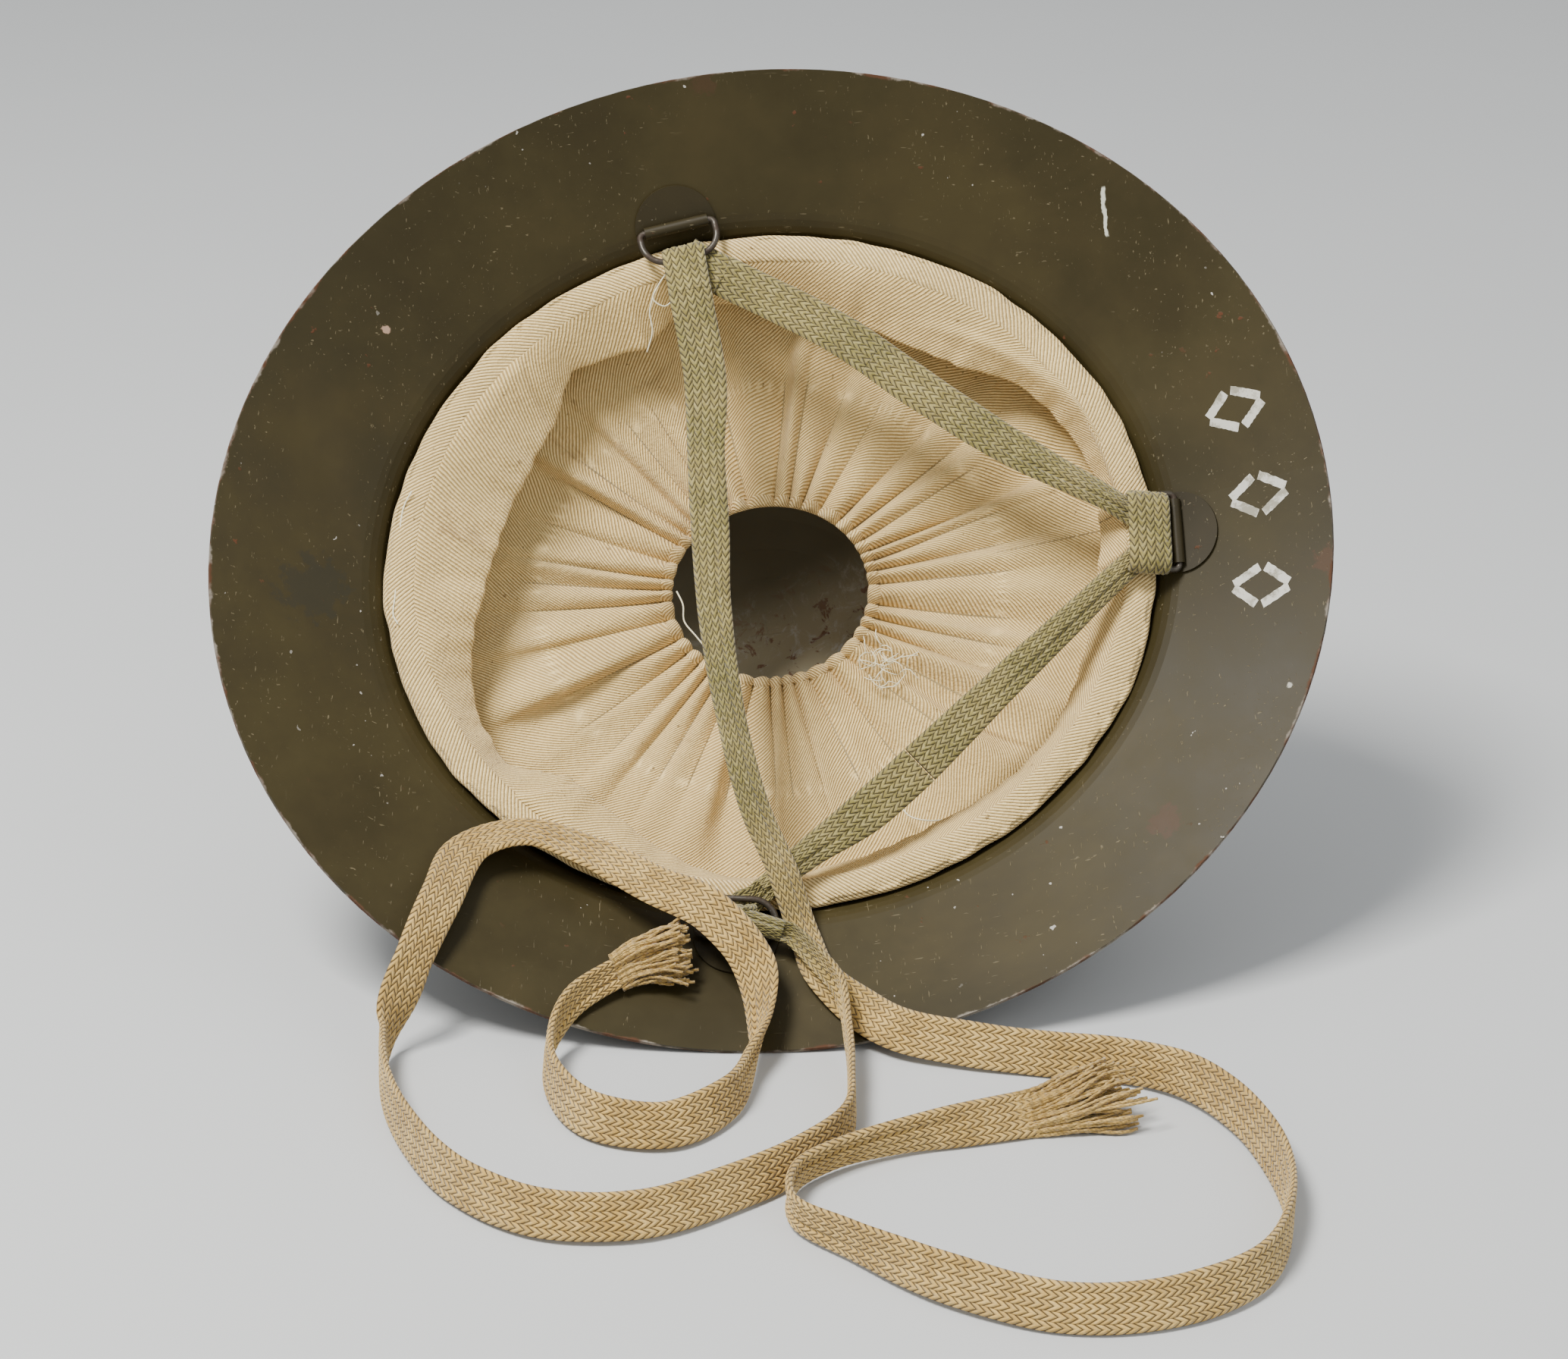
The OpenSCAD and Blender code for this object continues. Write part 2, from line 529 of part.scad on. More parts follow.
module left_cross_tape() { color(green_tape) tape(left_cross, up = opening); }
module right_cross_tape() { color(green_tape) tape(right_cross, up = opening); }
module chin_tape() { color(green_tape) tape(across, last = cross_at); }
module right_tail() { color(tan_tape) tape(across, first = cross_at, last = right_end_at); }
module left_tail() { color(tan_tape) tape(left_route, last = left_end_at); }

// Frayed ends, as flat fans that open along the tape's own direction
fan = [1, 1.3, 1.9, 2.1];
short_fan = [1, 1.2, 1.5, 1.6];
module right_frayed_end() { color(tan_tape) tape(across, first = right_end_at, wides = fan); }
module left_frayed_end() { color(tan_tape) tape(left_route, first = left_end_at, wides = short_fan); }

module left_bracket() { bracket(left_h); }
module right_bracket() { bracket(right_h); }
module rear_bracket() { bracket(rear_h); }
module left_ring() { d_ring(left_h); }
module right_ring() { d_ring(right_h); }
module rear_ring() { d_ring(rear_h); }

shell();
left_bracket();
right_bracket();
rear_bracket();
left_ring();
right_ring();
rear_ring();
liner_hoop();
spring_tabs();
liner_casing();
folded_band();
crown_cloth();
drawstring();
left_wrap();
right_wrap();
rear_hitch();
left_cross_tape();
right_cross_tape();
chin_tape();
right_tail();
left_tail();
right_frayed_end();
left_frayed_end();
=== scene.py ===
"""Medic helmet lying on its dome: steel shell, gathered cotton liner and laced tape."""
import math

import bpy
import numpy as np
from mathutils import Matrix, Vector


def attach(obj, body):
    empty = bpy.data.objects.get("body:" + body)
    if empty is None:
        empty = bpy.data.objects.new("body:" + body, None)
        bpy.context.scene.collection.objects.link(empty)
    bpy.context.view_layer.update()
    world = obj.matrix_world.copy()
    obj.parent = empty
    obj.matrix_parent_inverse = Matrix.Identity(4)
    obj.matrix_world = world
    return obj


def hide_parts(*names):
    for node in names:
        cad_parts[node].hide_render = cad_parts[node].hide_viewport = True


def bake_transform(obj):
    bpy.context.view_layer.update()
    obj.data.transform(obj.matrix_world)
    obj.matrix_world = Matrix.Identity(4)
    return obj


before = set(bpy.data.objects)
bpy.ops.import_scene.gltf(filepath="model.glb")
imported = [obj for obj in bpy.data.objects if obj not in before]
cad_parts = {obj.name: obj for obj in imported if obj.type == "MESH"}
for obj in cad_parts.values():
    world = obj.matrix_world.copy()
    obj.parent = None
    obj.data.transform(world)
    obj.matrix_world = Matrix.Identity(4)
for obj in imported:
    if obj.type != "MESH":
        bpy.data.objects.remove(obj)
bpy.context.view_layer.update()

# Sizes in millimetres, as in the part's source
MM = 0.001
REST_A, ROLL_A, MID_Y, AXIS_Z = 55.979, -8.5, 22.092, 119.274
RIM_R, RATIO, BRIM_A, SHEET_T = 161.0, 287 / 322, 28.0, 1.2
BRIM_T = math.tan(math.radians(BRIM_A))
HOOP_R, CASING_IN, CASING_OUT, LIP_R = 106.3, 103.4, 107.8, 113.1
LIP_Z, CASING_TOP, HOLE_Z, CLOTH_T = 23.4, 46.35, 58.0, 1.2
HOLE_A, HOLE_B = 31.0, 27.5
TAPE_W, TAPE_T = 12.5, 2.2
WRAP_IN, RING_D, RING_W, WIRE_D, RING_LIFT = 1.3, 10.5, 24.5, 1.9, 8.0
WEB_X = RING_D - WRAP_IN - TAPE_T
HITCH_FOLD, BIGHT_Y, LEG_Y, EXIT_V, EXIT_TURN = 0.6, 4.0, 2.0, 5.0, 15.0
# From the brim's face to a ring's hinge line
HINGE_DROP = 0.1 + 0.3 + (WIRE_D + 0.1 + 1.6) / 2
# Runs of tape from a ring's web: where its leg ends and where the free tape starts. The right's are short
LEG_END, RIGHT_LEG_END, FREE_START, RIGHT_START = 14.2, 7.9, 13.6, 7.4
# Places on the tapes' routes: the top of the long tape, its next bend, the end of the right ring's
# folded strand, and where each tail's yarns part
CHIN_TOP, CHIN_BEND, STRAND_END = (-19, 20, 155), (-19, 9, 137), (19, -109, 9.5)
RIGHT_PARTING, LEFT_PARTING = (65, -147, 5.5), (-43, -86, 18)
# How far the yarns start before that place and the braid goes on past it
YARNS_BEFORE, BRAID_PAST = 3, 2


def rot(axis, deg):
    c, s = math.cos(math.radians(deg)), math.sin(math.radians(deg))
    return np.array({
        "x": [[1, 0, 0], [0, c, -s], [0, s, c]],
        "y": [[c, 0, s], [0, 1, 0], [-s, 0, c]],
        "z": [[c, -s, 0], [s, c, 0], [0, 0, 1]]}[axis])


STAND = rot("x", REST_A - 180) @ rot("z", ROLL_A)
OFFSET = np.array([0, -MID_Y, AXIS_Z])


def stood(p):
    """From the helmet's own frame, crown up, to how it lies."""
    return np.asarray(p, float) @ STAND.T + OFFSET


def brim_face(radius):
    """Height of the brim's inner face. radius is taken along the helmet's length."""
    return (RIM_R - radius) * BRIM_T - SHEET_T / math.cos(math.radians(BRIM_A))


class Ring:
    """A D-ring's frame: hinge line along y, ring towards -x, viewer towards -z."""

    def __init__(self, angle, radius):
        t = math.atan2(math.sin(math.radians(angle)) / RATIO, math.cos(math.radians(angle)))
        facing = math.degrees(math.atan2(math.sin(t) / RATIO, math.cos(t)))
        slope = math.degrees(math.atan(BRIM_T * math.hypot(math.cos(t), math.sin(t) / RATIO)))
        seat = np.array([radius * math.cos(t), RATIO * radius * math.sin(t), brim_face(radius)])
        turn = rot("z", facing)
        self.hinge = seat + turn @ rot("y", slope) @ np.array([0, 0, -HINGE_DROP])
        self.basis = turn @ rot("y", -RING_LIFT)

    def pt(self, p):
        return stood(self.hinge + np.asarray(p, float) @ self.basis.T)

    def vec(self, v):
        return np.asarray(v, float) @ (STAND @ self.basis).T

    def inside(self, p):
        local = (p - OFFSET) @ STAND
        return (local - self.hinge) @ self.basis


LEFT, RIGHT, REAR = Ring(-96.5, 119.5), Ring(104.5, 123.5), Ring(4.5, 119.5)


def root(y, v):
    return np.array([-WEB_X - TAPE_T / 2, y, v])


def aim(ring, y, p):
    d = ring.inside(p) - root(y, 0)
    return math.degrees(math.atan2(-d[1], -d[0]))


def leg_pt(ring, turn, near, y, fold, run):
    v = (-1 if near else 1) * (WRAP_IN + TAPE_T / fold / 2)
    return ring.pt(root(y, v) + rot("z", turn) @ np.array([-run, 0, 0]))


LEFT_LOW = aim(LEFT, 0, REAR.pt(root(-BIGHT_Y, 0)))
LEFT_UP = aim(LEFT, 0, CHIN_TOP)
RIGHT_LOW = aim(RIGHT, -LEG_Y, REAR.pt(root(BIGHT_Y, 0)))
REAR_A = aim(REAR, -BIGHT_Y, LEFT.pt(root(0, 0)))
REAR_B = aim(REAR, BIGHT_Y, RIGHT.pt(root(-LEG_Y, 0)))


def exit_pt(run):
    return np.array([-6, 2, -EXIT_V - TAPE_T]) + rot("z", EXIT_TURN) @ np.array([0, -run, 0])


EXIT_L = (RING_W / 2 + 0.8 + 2) / math.cos(math.radians(EXIT_TURN))

# Camera at the photograph's place, in metres
CAMERA_PLACE, CAMERA_AIM, LENS = (-0.0164, -0.9557, 0.4772), (0.0192, 0.9194, -0.3928), 80.4
camera = bpy.data.objects.new("camera", bpy.data.cameras.new("camera"))
bpy.context.scene.collection.objects.link(camera)
camera.location = CAMERA_PLACE
camera.rotation_euler = Vector(CAMERA_AIM).to_track_quat("-Z", "Y").to_euler()
camera.data.sensor_width = 36
camera.data.lens = LENS
bpy.context.scene.camera = camera


def smooth(x, a, b):
    t = np.clip((np.asarray(x, float) - a) / (b - a), 0, 1)
    return t * t * (3 - 2 * t)


def lobes(angle, counts, seed):
    """A smooth wavy function of an angle in radians, from -1 to 1."""
    r = np.random.default_rng(seed)
    out = np.zeros_like(angle)
    for n in counts:
        out += np.sin(n * angle + r.uniform(0, 6.28)) * r.uniform(0.6, 1)
    return out / len(counts)


def unit(rows):
    """Rows of vectors, each at length 1."""
    return rows / np.linalg.norm(rows, axis=1)[:, None]


def metres(p):
    return tuple(np.asarray(p, float) * MM)


def add_mesh(name, verts, faces, material, floats=None):
    """verts in mm. floats is a dict of one number a vertex. Faces of five or more corners stay flat."""
    mesh = bpy.data.meshes.new(name)
    mesh.from_pydata((np.asarray(verts) * MM).tolist(), [], faces)
    mesh.update()
    for key, values in (floats or {}).items():
        attribute = mesh.attributes.new(key, "FLOAT", "POINT")
        attribute.data.foreach_set("value", np.asarray(values, np.float32))
    mesh.polygons.foreach_set("use_smooth", [len(face) < 5 for face in faces])
    mesh.materials.append(material)
    obj = bpy.data.objects.new(name, mesh)
    bpy.context.scene.collection.objects.link(obj)
    return obj


def grid_faces(rows, cols):
    """Faces between rows that each close on themselves."""
    i, j = np.meshgrid(np.arange(rows - 1), np.arange(cols), indexing="ij")
    k = (j + 1) % cols
    return np.stack([i * cols + j, (i + 1) * cols + j, (i + 1) * cols + k, i * cols + k],
                    -1).reshape(-1, 4).tolist()


def tube_faces(rows, cols, start=0):
    """The same with a flat cap at both ends. start is the first point's number."""
    last = start + (rows - 1) * cols
    return (np.array(grid_faces(rows, cols)) + start).tolist() + [
        list(range(start, start + cols)), list(range(last, last + cols))[::-1]]


# Materials
def new_material(name):
    material = bpy.data.materials.new(name)
    material.use_nodes = True
    return material, Net(material.node_tree)


class Net:
    """Short calls for a material's node tree."""

    def __init__(self, tree):
        self.tree = tree

    def put(self, socket, value):
        if isinstance(value, bpy.types.NodeSocket):
            self.tree.links.new(value, socket)
        else:
            socket.default_value = value

    def surface(self, **values):
        """Gives the shader's inputs, with _ for a space, a value or a link each."""
        for key, value in values.items():
            self.put(self.tree.nodes["Principled BSDF"].inputs[key.replace("_", " ")], value)

    def node(self, kind, inputs=None, **settings):
        n = self.tree.nodes.new(kind)
        for key, value in settings.items():
            setattr(n, key, value)
        for key, value in (inputs or {}).items():
            self.put(n.inputs[key], value)
        return n

    def coords(self):
        return self.node("ShaderNodeTexCoord").outputs["Object"]

    def noise(self, scale, detail=4, rough=0.6, vector=None, distort=0.0):
        return self.node("ShaderNodeTexNoise", {"Vector": vector or self.coords(), "Scale": scale,
                         "Detail": detail, "Roughness": rough, "Distortion": distort}).outputs["Fac"]

    def ramp(self, value, low, high, a=0.0, b=1.0):
        return self.node("ShaderNodeMapRange", {"Value": value, "From Min": low, "From Max": high,
                         "To Min": a, "To Max": b}, interpolation_type="SMOOTHSTEP").outputs["Result"]

    def math(self, op, a, b=0.0):
        n = self.node("ShaderNodeMath", operation=op)
        self.put(n.inputs[0], a)
        self.put(n.inputs[1], b)
        return n.outputs[0]

    def add(self, a, b):
        return self.math("ADD", a, b)

    def sub(self, a, b):
        return self.math("SUBTRACT", a, b)

    def mul(self, a, b):
        return self.math("MULTIPLY", a, b)

    def away(self, x, y):
        """Distance from the point where both are zero."""
        return self.math("SQRT", self.add(self.math("POWER", x, 2.0), self.math("POWER", y, 2.0)))

    def mix(self, fac, a, b, blend="MIX"):
        n = self.node("ShaderNodeMix", data_type="RGBA", blend_type=blend)
        self.put(n.inputs[0], fac)
        self.put(n.inputs[6], a if isinstance(a, bpy.types.NodeSocket) else (*a, 1))
        self.put(n.inputs[7], b if isinstance(b, bpy.types.NodeSocket) else (*b, 1))
        return n.outputs[2]

    def bump(self, height, strength, distance, normal=None):
        inputs = {"Height": height, "Strength": strength, "Distance": distance}
        if normal is not None:
            inputs["Normal"] = normal
        return self.node("ShaderNodeBump", inputs).outputs["Normal"]

    def attribute(self, name):
        return self.node("ShaderNodeAttribute", attribute_name=name).outputs["Fac"]


# Marks on the brim, in the helmet's frame: place, reach, colour and strength
BRIM_MARKS = (((-132, -12), 11, (0.022, 0.020, 0.012), 0.55),
              ((-100.7, -84.5), 1.3, (0.40, 0.26, 0.18), 0.9),
              ((156, 28), 5, (0.060, 0.026, 0.010), 0.6),
              ((97.5, 94), 5.5, (0.058, 0.027, 0.012), 0.6),
              ((2, -141), 4, (0.052, 0.026, 0.012), 0.5),
              ((139, 62), 1.0, (0.45, 0.43, 0.36), 0.8))
# A long pale chip, and the radius where the rim's bare edge begins
CHIP_X, CHIP_Y, EDGE_FROM, EDGE_FULL = 112.5, -85.8, 159.7, 160.4


def steel_paint(name, base, rim=True):
    material, n = new_material(name)
    inverse = STAND.T
    angles = Matrix(inverse.tolist()).to_euler()
    local = n.node("ShaderNodeMapping", {"Vector": n.coords(), "Rotation": tuple(angles),
                   "Location": tuple(-inverse @ OFFSET * MM)}).outputs["Vector"]
    x, y, z = n.node("ShaderNodeSeparateXYZ", {"Vector": local}).outputs
    stretched = n.node("ShaderNodeMapping", {"Vector": n.coords(), "Scale": (1, 0.08, 0.35),
                       "Rotation": (0.4, 0.2, 0.7)}).outputs["Vector"]
    crossed = n.node("ShaderNodeMapping", {"Vector": n.coords(), "Scale": (0.07, 1, 0.6),
                     "Rotation": (0.1, 0.9, -0.5)}).outputs["Vector"]
    fine = n.noise(1500, 2, 0.6, stretched)
    fine_b = n.noise(1300, 2, 0.6, crossed)
    scratch = n.math("MAXIMUM", n.ramp(fine, 0.675, 0.73), n.ramp(fine_b, 0.69, 0.74))
    scratch = n.mul(scratch, n.ramp(n.noise(28, 3), 0.38, 0.58))
    cloud = n.noise(16, 6, 0.65)
    color = n.mix(n.ramp(cloud, 0.35, 0.7), [c * 0.80 for c in base], [c * 1.18 for c in base])
    dusty = n.ramp(n.noise(9, 5, 0.7, distort=0.4), 0.50, 0.72)
    color = n.mix(n.mul(dusty, 0.18), color, (0.095, 0.072, 0.028))
    color = n.mix(n.mul(scratch, 0.5), color, (0.20, 0.165, 0.095))
    spots = n.mul(n.ramp(n.noise(210, 3, 0.55), 0.69, 0.73), n.ramp(n.noise(22, 2), 0.50, 0.62))
    color = n.mix(spots, color, (0.085, 0.032, 0.014))
    chips = n.ramp(n.noise(330, 2, 0.5), 0.735, 0.75)
    chips = n.mul(chips, n.ramp(n.noise(14, 2), 0.52, 0.6))
    color = n.mix(chips, color, (0.36, 0.34, 0.30))
    rough = n.ramp(cloud, 0.2, 0.8, 0.40, 0.56)
    if rim:
        rho = n.away(x, n.math("DIVIDE", y, RATIO))
        inside = n.attribute("inside")
        wander = n.ramp(n.noise(75, 5, 0.7), 0.25, 0.75, -0.0012, 0.0006)
        edge = n.ramp(n.add(rho, wander), EDGE_FROM * MM, EDGE_FULL * MM)
        rust = n.mix(n.ramp(n.noise(120, 4), 0.38, 0.58), (0.21, 0.185, 0.15), (0.075, 0.032, 0.014))
        color = n.mix(edge, color, rust)
        for (cx, cy), reach, tint, amount in BRIM_MARKS:
            full = reach * MM
            ragged = n.ramp(n.noise(260, 5, 0.7), 0.3, 0.7, -0.3 * full, 0.5 * full)
            ragged = n.add(n.away(n.sub(x, cx * MM), n.sub(y, cy * MM)), ragged)
            mark = n.mul(n.ramp(ragged, 0.7 * full, full, amount, 0.0), inside)
            color = n.mix(mark, color, tint)
        bend = n.mul(n.sub(n.noise(90, 4), 0.5), 0.006)
        beside = n.math("ABSOLUTE", n.sub(n.add(x, bend), CHIP_X * MM))
        along = n.math("ABSOLUTE", n.sub(y, CHIP_Y * MM))
        chip = n.mul(n.ramp(beside, 0.0004, 0.0008, 1.0, 0.0), n.ramp(along, 0.0062, 0.0070, 1.0, 0.0))
        color = n.mix(n.mul(chip, inside), color, (0.52, 0.52, 0.42))
        # The dome seen through the hole: paler than the paint as painted light, darker up by the hem as
        # painted shade, with scuffs and rust low down
        deep = n.mul(n.ramp(z, 0.056, 0.066), inside)
        # Painted light and shade: a ramp from painted shade by the hem at the top to the paler low side,
        # which also places the scuffs
        painted_light_and_scuff_ramp = n.ramp(n.add(y, n.mul(x, 0.3)), -0.018, 0.006)
        scuff = n.mul(n.ramp(n.noise(110, 8, 0.8, distort=1.4), 0.50, 0.66), painted_light_and_scuff_ramp)
        dome = n.mix(painted_light_and_scuff_ramp, (0.22, 0.18, 0.095), (0.68, 0.59, 0.38))
        dome = n.mix(n.mul(scuff, 0.8), dome, (0.92, 0.89, 0.80))
        patch = n.mul(n.ramp(n.noise(150, 5, 0.65, distort=0.6), 0.56, 0.62), 0.8)
        dome = n.mix(n.mul(patch, painted_light_and_scuff_ramp), dome, (0.30, 0.11, 0.05))
        color = n.mix(deep, color, dome)
        rough = n.add(rough, n.mul(edge, 0.25))
    dents = n.bump(n.noise(26, 2, 0.4), 0.12, 0.002)
    relief = n.add(n.mul(scratch, -1.0), spots)
    n.surface(Base_Color=color, Roughness=n.add(rough, n.mul(spots, 0.3)), Specular_IOR_Level=0.2,
              Normal=n.bump(relief, 0.25, 0.0003, dents))
    return material


def wire_steel(name, base):
    material, n = new_material(name)
    grime = n.ramp(n.noise(260, 4, 0.65), 0.42, 0.62)
    color = n.mix(grime, base, (0.040, 0.026, 0.016))
    color = n.mix(n.ramp(n.noise(500, 2), 0.66, 0.72), color, (0.16, 0.15, 0.13))
    n.surface(Base_Color=color, Roughness=n.add(n.mul(grime, 0.3), 0.38), Metallic=0.4,
              Normal=n.bump(n.noise(900, 3), 0.3, 0.0002))
    return material


# Millimetres from one rib of the twill to the next
RIB = 1.4


def twill(name, base, stain=1.0):
    """Cotton twill. Its ribs follow the ribs attribute, or gathered_ribs where gathered is 1."""
    material, n = new_material(name)
    wobble = n.mul(n.noise(45, 4), 1.6)
    gathered = n.attribute("gathered")
    plain, drawn = [n.math("SINE", n.mul(n.add(n.attribute(key), wobble), 2 * math.pi))
                    for key in ("ribs", "gathered_ribs")]
    rib = n.ramp(n.add(n.mul(plain, n.sub(1.0, gathered)), n.mul(drawn, gathered)), -1.0, 0.5)
    cloud = n.noise(24, 5, 0.6)
    pale = [min(c * 1.06, 1) for c in base]
    color = n.mix(n.ramp(cloud, 0.3, 0.7), [c * 0.88 for c in base], pale)
    worn = n.ramp(n.noise(11, 4, 0.65, distort=0.5), 0.48, 0.70)
    color = n.mix(n.mul(worn, 0.42 * stain), color, (0.56, 0.42, 0.20))
    soiled = n.mul(n.attribute("soiled"), n.ramp(n.noise(70, 5, 0.7), 0.36, 0.66))
    color = n.mix(n.mul(soiled, 0.75), color, (0.40, 0.265, 0.105))
    brown = n.mul(n.ramp(n.noise(34, 5, 0.7, distort=0.8), 0.62, 0.72), 0.5 * stain)
    color = n.mix(brown, color, (0.33, 0.21, 0.09))
    specks = n.ramp(n.noise(420, 2), 0.715, 0.75)
    color = n.mix(n.mul(specks, 0.65), color, (0.20, 0.12, 0.05))
    fleck = n.ramp(n.noise(1100, 2), 0.35, 0.65)
    lit = n.mul(n.ramp(rib, 0.0, 0.9), n.ramp(fleck, 0.0, 1.0, 0.8, 1.0))
    color = n.mix(1.0, color, n.mix(lit, (0.50, 0.43, 0.31), (1.0, 1.0, 1.0)), "MULTIPLY")
    height = n.add(rib, n.mul(fleck, 0.35))
    crumple = n.bump(n.noise(70, 5, 0.6), 0.42, 0.0030)
    n.surface(Base_Color=color, Roughness=0.92, Sheen_Weight=0.15, Specular_IOR_Level=0.15,
              Normal=n.bump(height, 0.8, 0.0005, crumple))
    return material


# Plaits across a tape, the length of a stitch in millimetres, and in stitches how far a strand slants
# from a plait's middle to its sides and how far each plait is set off from the one before
PLAITS, PITCH, SLANT, STAGGER = 5, 2.3, 0.9, 0.43


def stitches(n):
    """Height and tone of a braid's slanted strands, from the plait, run and side attributes."""
    plait = n.attribute("plait")
    index = n.math("FLOOR", plait)
    off = n.math("ABSOLUTE", n.sub(n.mul(n.sub(plait, index), 2.0), 1.0))
    slant = n.mul(n.mul(off, SLANT), n.attribute("side"))
    phase = n.add(n.add(n.attribute("run"), slant), n.mul(index, STAGGER))
    part = n.math("FRACT", phase)
    strand = n.math("POWER", n.math("SINE", n.mul(part, math.pi)), 0.6)
    edge = n.math("SQRT", n.sub(1.0, n.math("POWER", n.mul(off, 0.995), 5.0)))
    height = n.mul(strand, n.add(n.mul(edge, 0.6), 0.4))
    # A number of its own for each stitch, which spreads their tones
    number = n.add(n.mul(n.math("FLOOR", phase), 12.99), n.mul(index, 78.23))
    return height, n.math("FRACT", n.mul(n.math("SINE", number), 43.7))


def braid(name, base, other, change=None, woven=True):
    """Braided tape, or its loose yarns, whose height and tone are attributes of their own.

    change is the run where other colours begin, where they are full, and the two colours."""
    material, n = new_material(name)
    height, tone = stitches(n) if woven else (n.attribute("relief"), n.attribute("tone"))
    color = n.mix(n.ramp(n.noise(55, 4), 0.35, 0.68), base, other)
    if change is not None:
        first, full, *far = change
        mixing = n.ramp(n.add(n.attribute("along"), n.mul(n.noise(40, 3), 30.0)), first, full)
        color = n.mix(mixing, color, n.mix(n.ramp(n.noise(55, 4), 0.35, 0.68), *far))
    fleck = n.ramp(n.noise(900, 2), 0.35, 0.7)
    color = n.mix(n.mul(fleck, 0.22), color, (0.62, 0.53, 0.32))
    color = n.mix(1.0, color, n.mix(tone, (0.80, 0.78, 0.74), (1.08, 1.08, 1.06)), "MULTIPLY")
    shade = n.mix(n.ramp(height, 0.20, 0.86), (0.12, 0.095, 0.050), (1.0, 1.0, 1.0))
    color = n.mix(1.0, color, shade, "MULTIPLY")
    fine = n.bump(n.noise(1600, 2), 0.5, 0.0003)
    n.surface(Base_Color=color, Roughness=0.88, Sheen_Weight=0.3, Specular_IOR_Level=0.2,
              Normal=n.bump(height, 0.7, 0.0005, fine))
    return material


def plain_yarn(name, base):
    material, n = new_material(name)
    color = n.mix(n.noise(400, 3), [c * 0.7 for c in base], [min(1, c * 1.25) for c in base])
    n.surface(Base_Color=color, Roughness=0.9, Sheen_Weight=0.3)
    return material


PAINT = steel_paint("shell_paint", (0.034, 0.0258, 0.0080))
PLATE = steel_paint("bracket_paint", (0.025, 0.019, 0.007), rim=False)
WIRE = wire_steel("ring_wire", (0.055, 0.046, 0.034))
SPRING = wire_steel("spring_steel", (0.16, 0.16, 0.15))
COTTON = twill("cotton_twill", (0.95, 0.71, 0.32))
HEM = twill("cotton_hem", (0.95, 0.72, 0.34), 0.5)
GREEN = ((0.195, 0.165, 0.041), (0.285, 0.230, 0.070))
TAN = ((0.460, 0.285, 0.070), (0.600, 0.395, 0.120))
GREEN_TAPE = braid("green_braid", *GREEN)
TAN_TAPE = braid("tan_braid", *TAN)
LOOSE_YARN = braid("loose_yarn", *TAN, woven=False)
LONG_TAPE = braid("long_braid", *GREEN, change=(150, 260, *TAN))
STRAND = braid("strand_braid", *GREEN, change=(12, 60, *TAN))
PALE_YARN = plain_yarn("pale_yarn", (0.86, 0.76, 0.52))


def set_material(node, material):
    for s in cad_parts[node].material_slots:
        s.material = material


def mark_inside(node):
    """Gives a node's faces the number inside, which is 1 where they look into the bowl."""
    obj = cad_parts[node]
    mesh = obj.data
    place = np.array(obj.matrix_world)
    turn, shift = place[:3, :3], place[:3, 3]
    centres = np.array([face.center for face in mesh.polygons]) @ turn.T + shift
    normals = np.array([face.normal for face in mesh.polygons]) @ turn.T
    local = (centres / MM - OFFSET) @ STAND - np.array([0, 0, 60.0])
    faces_in = np.einsum("ij,ij->i", local, normals @ STAND) < 0
    attribute = mesh.attributes.new("inside", "FLOAT", "FACE")
    attribute.data.foreach_set("value", faces_in.astype(np.float32))


mark_inside("shell")
set_material("shell", PAINT)
for place in ("left", "right", "rear"):
    set_material(place + "_bracket", PLATE)
    set_material(place + "_ring", WIRE)
set_material("spring_tabs", SPRING)
set_material("liner_hoop", plain_yarn("fibre_board", (0.20, 0.12, 0.06)))


# Tape
def spline(points, step):
    """Even samples on a centripetal curve through rows whose first three columns are places."""
    p = np.asarray(points, float)
    p = np.vstack([2 * p[0] - p[1], p, 2 * p[-1] - p[-2]])
    out = []
    for i in range(1, len(p) - 2):
        knots = [0.0]
        for k in range(3):
            gap = np.linalg.norm(p[i + k, :3] - p[i + k - 1, :3])
            knots.append(knots[-1] + max(gap, 1e-6) ** 0.5)
        t0, t1, t2, t3 = knots
        t = np.linspace(t1, t2, 40, endpoint=False)[:, None]
        a1 = (t1 - t) / (t1 - t0) * p[i - 1] + (t - t0) / (t1 - t0) * p[i]
        a2 = (t2 - t) / (t2 - t1) * p[i] + (t - t1) / (t2 - t1) * p[i + 1]
        a3 = (t3 - t) / (t3 - t2) * p[i + 1] + (t - t2) / (t3 - t2) * p[i + 2]
        b1 = (t2 - t) / (t2 - t0) * a1 + (t - t0) / (t2 - t0) * a2
        b2 = (t3 - t) / (t3 - t1) * a2 + (t - t1) / (t3 - t1) * a3
        out.append((t2 - t) / (t2 - t1) * b1 + (t - t1) / (t2 - t1) * b2)
    out.append(p[-2][None])
    q = np.vstack(out)
    run = np.concatenate([[0], np.cumsum(np.linalg.norm(np.diff(q[:, :3], axis=0), axis=1))])
    n = max(int(round(run[-1] / step)), 4)
    at = np.linspace(0, run[-1], n + 1)
    return np.stack([np.interp(at, run, q[:, c]) for c in range(q.shape[1])], 1), at


def frames(q, up=(0, 0, 1)):
    """Width and face vectors of a route from its lean, as in the part's source."""
    d = unit(np.gradient(q[:, :3], axis=0))
    h = unit(np.cross(up, d))
    m = np.cross(d, h)
    lean = np.radians(q[:, 3])[:, None]
    w = np.cos(lean) * h + np.sin(lean) * m
    return w, np.cross(d, w)


# Points across one face of a tape, and millimetres from one row of them to the next
ACROSS, STEP = 36, 0.5


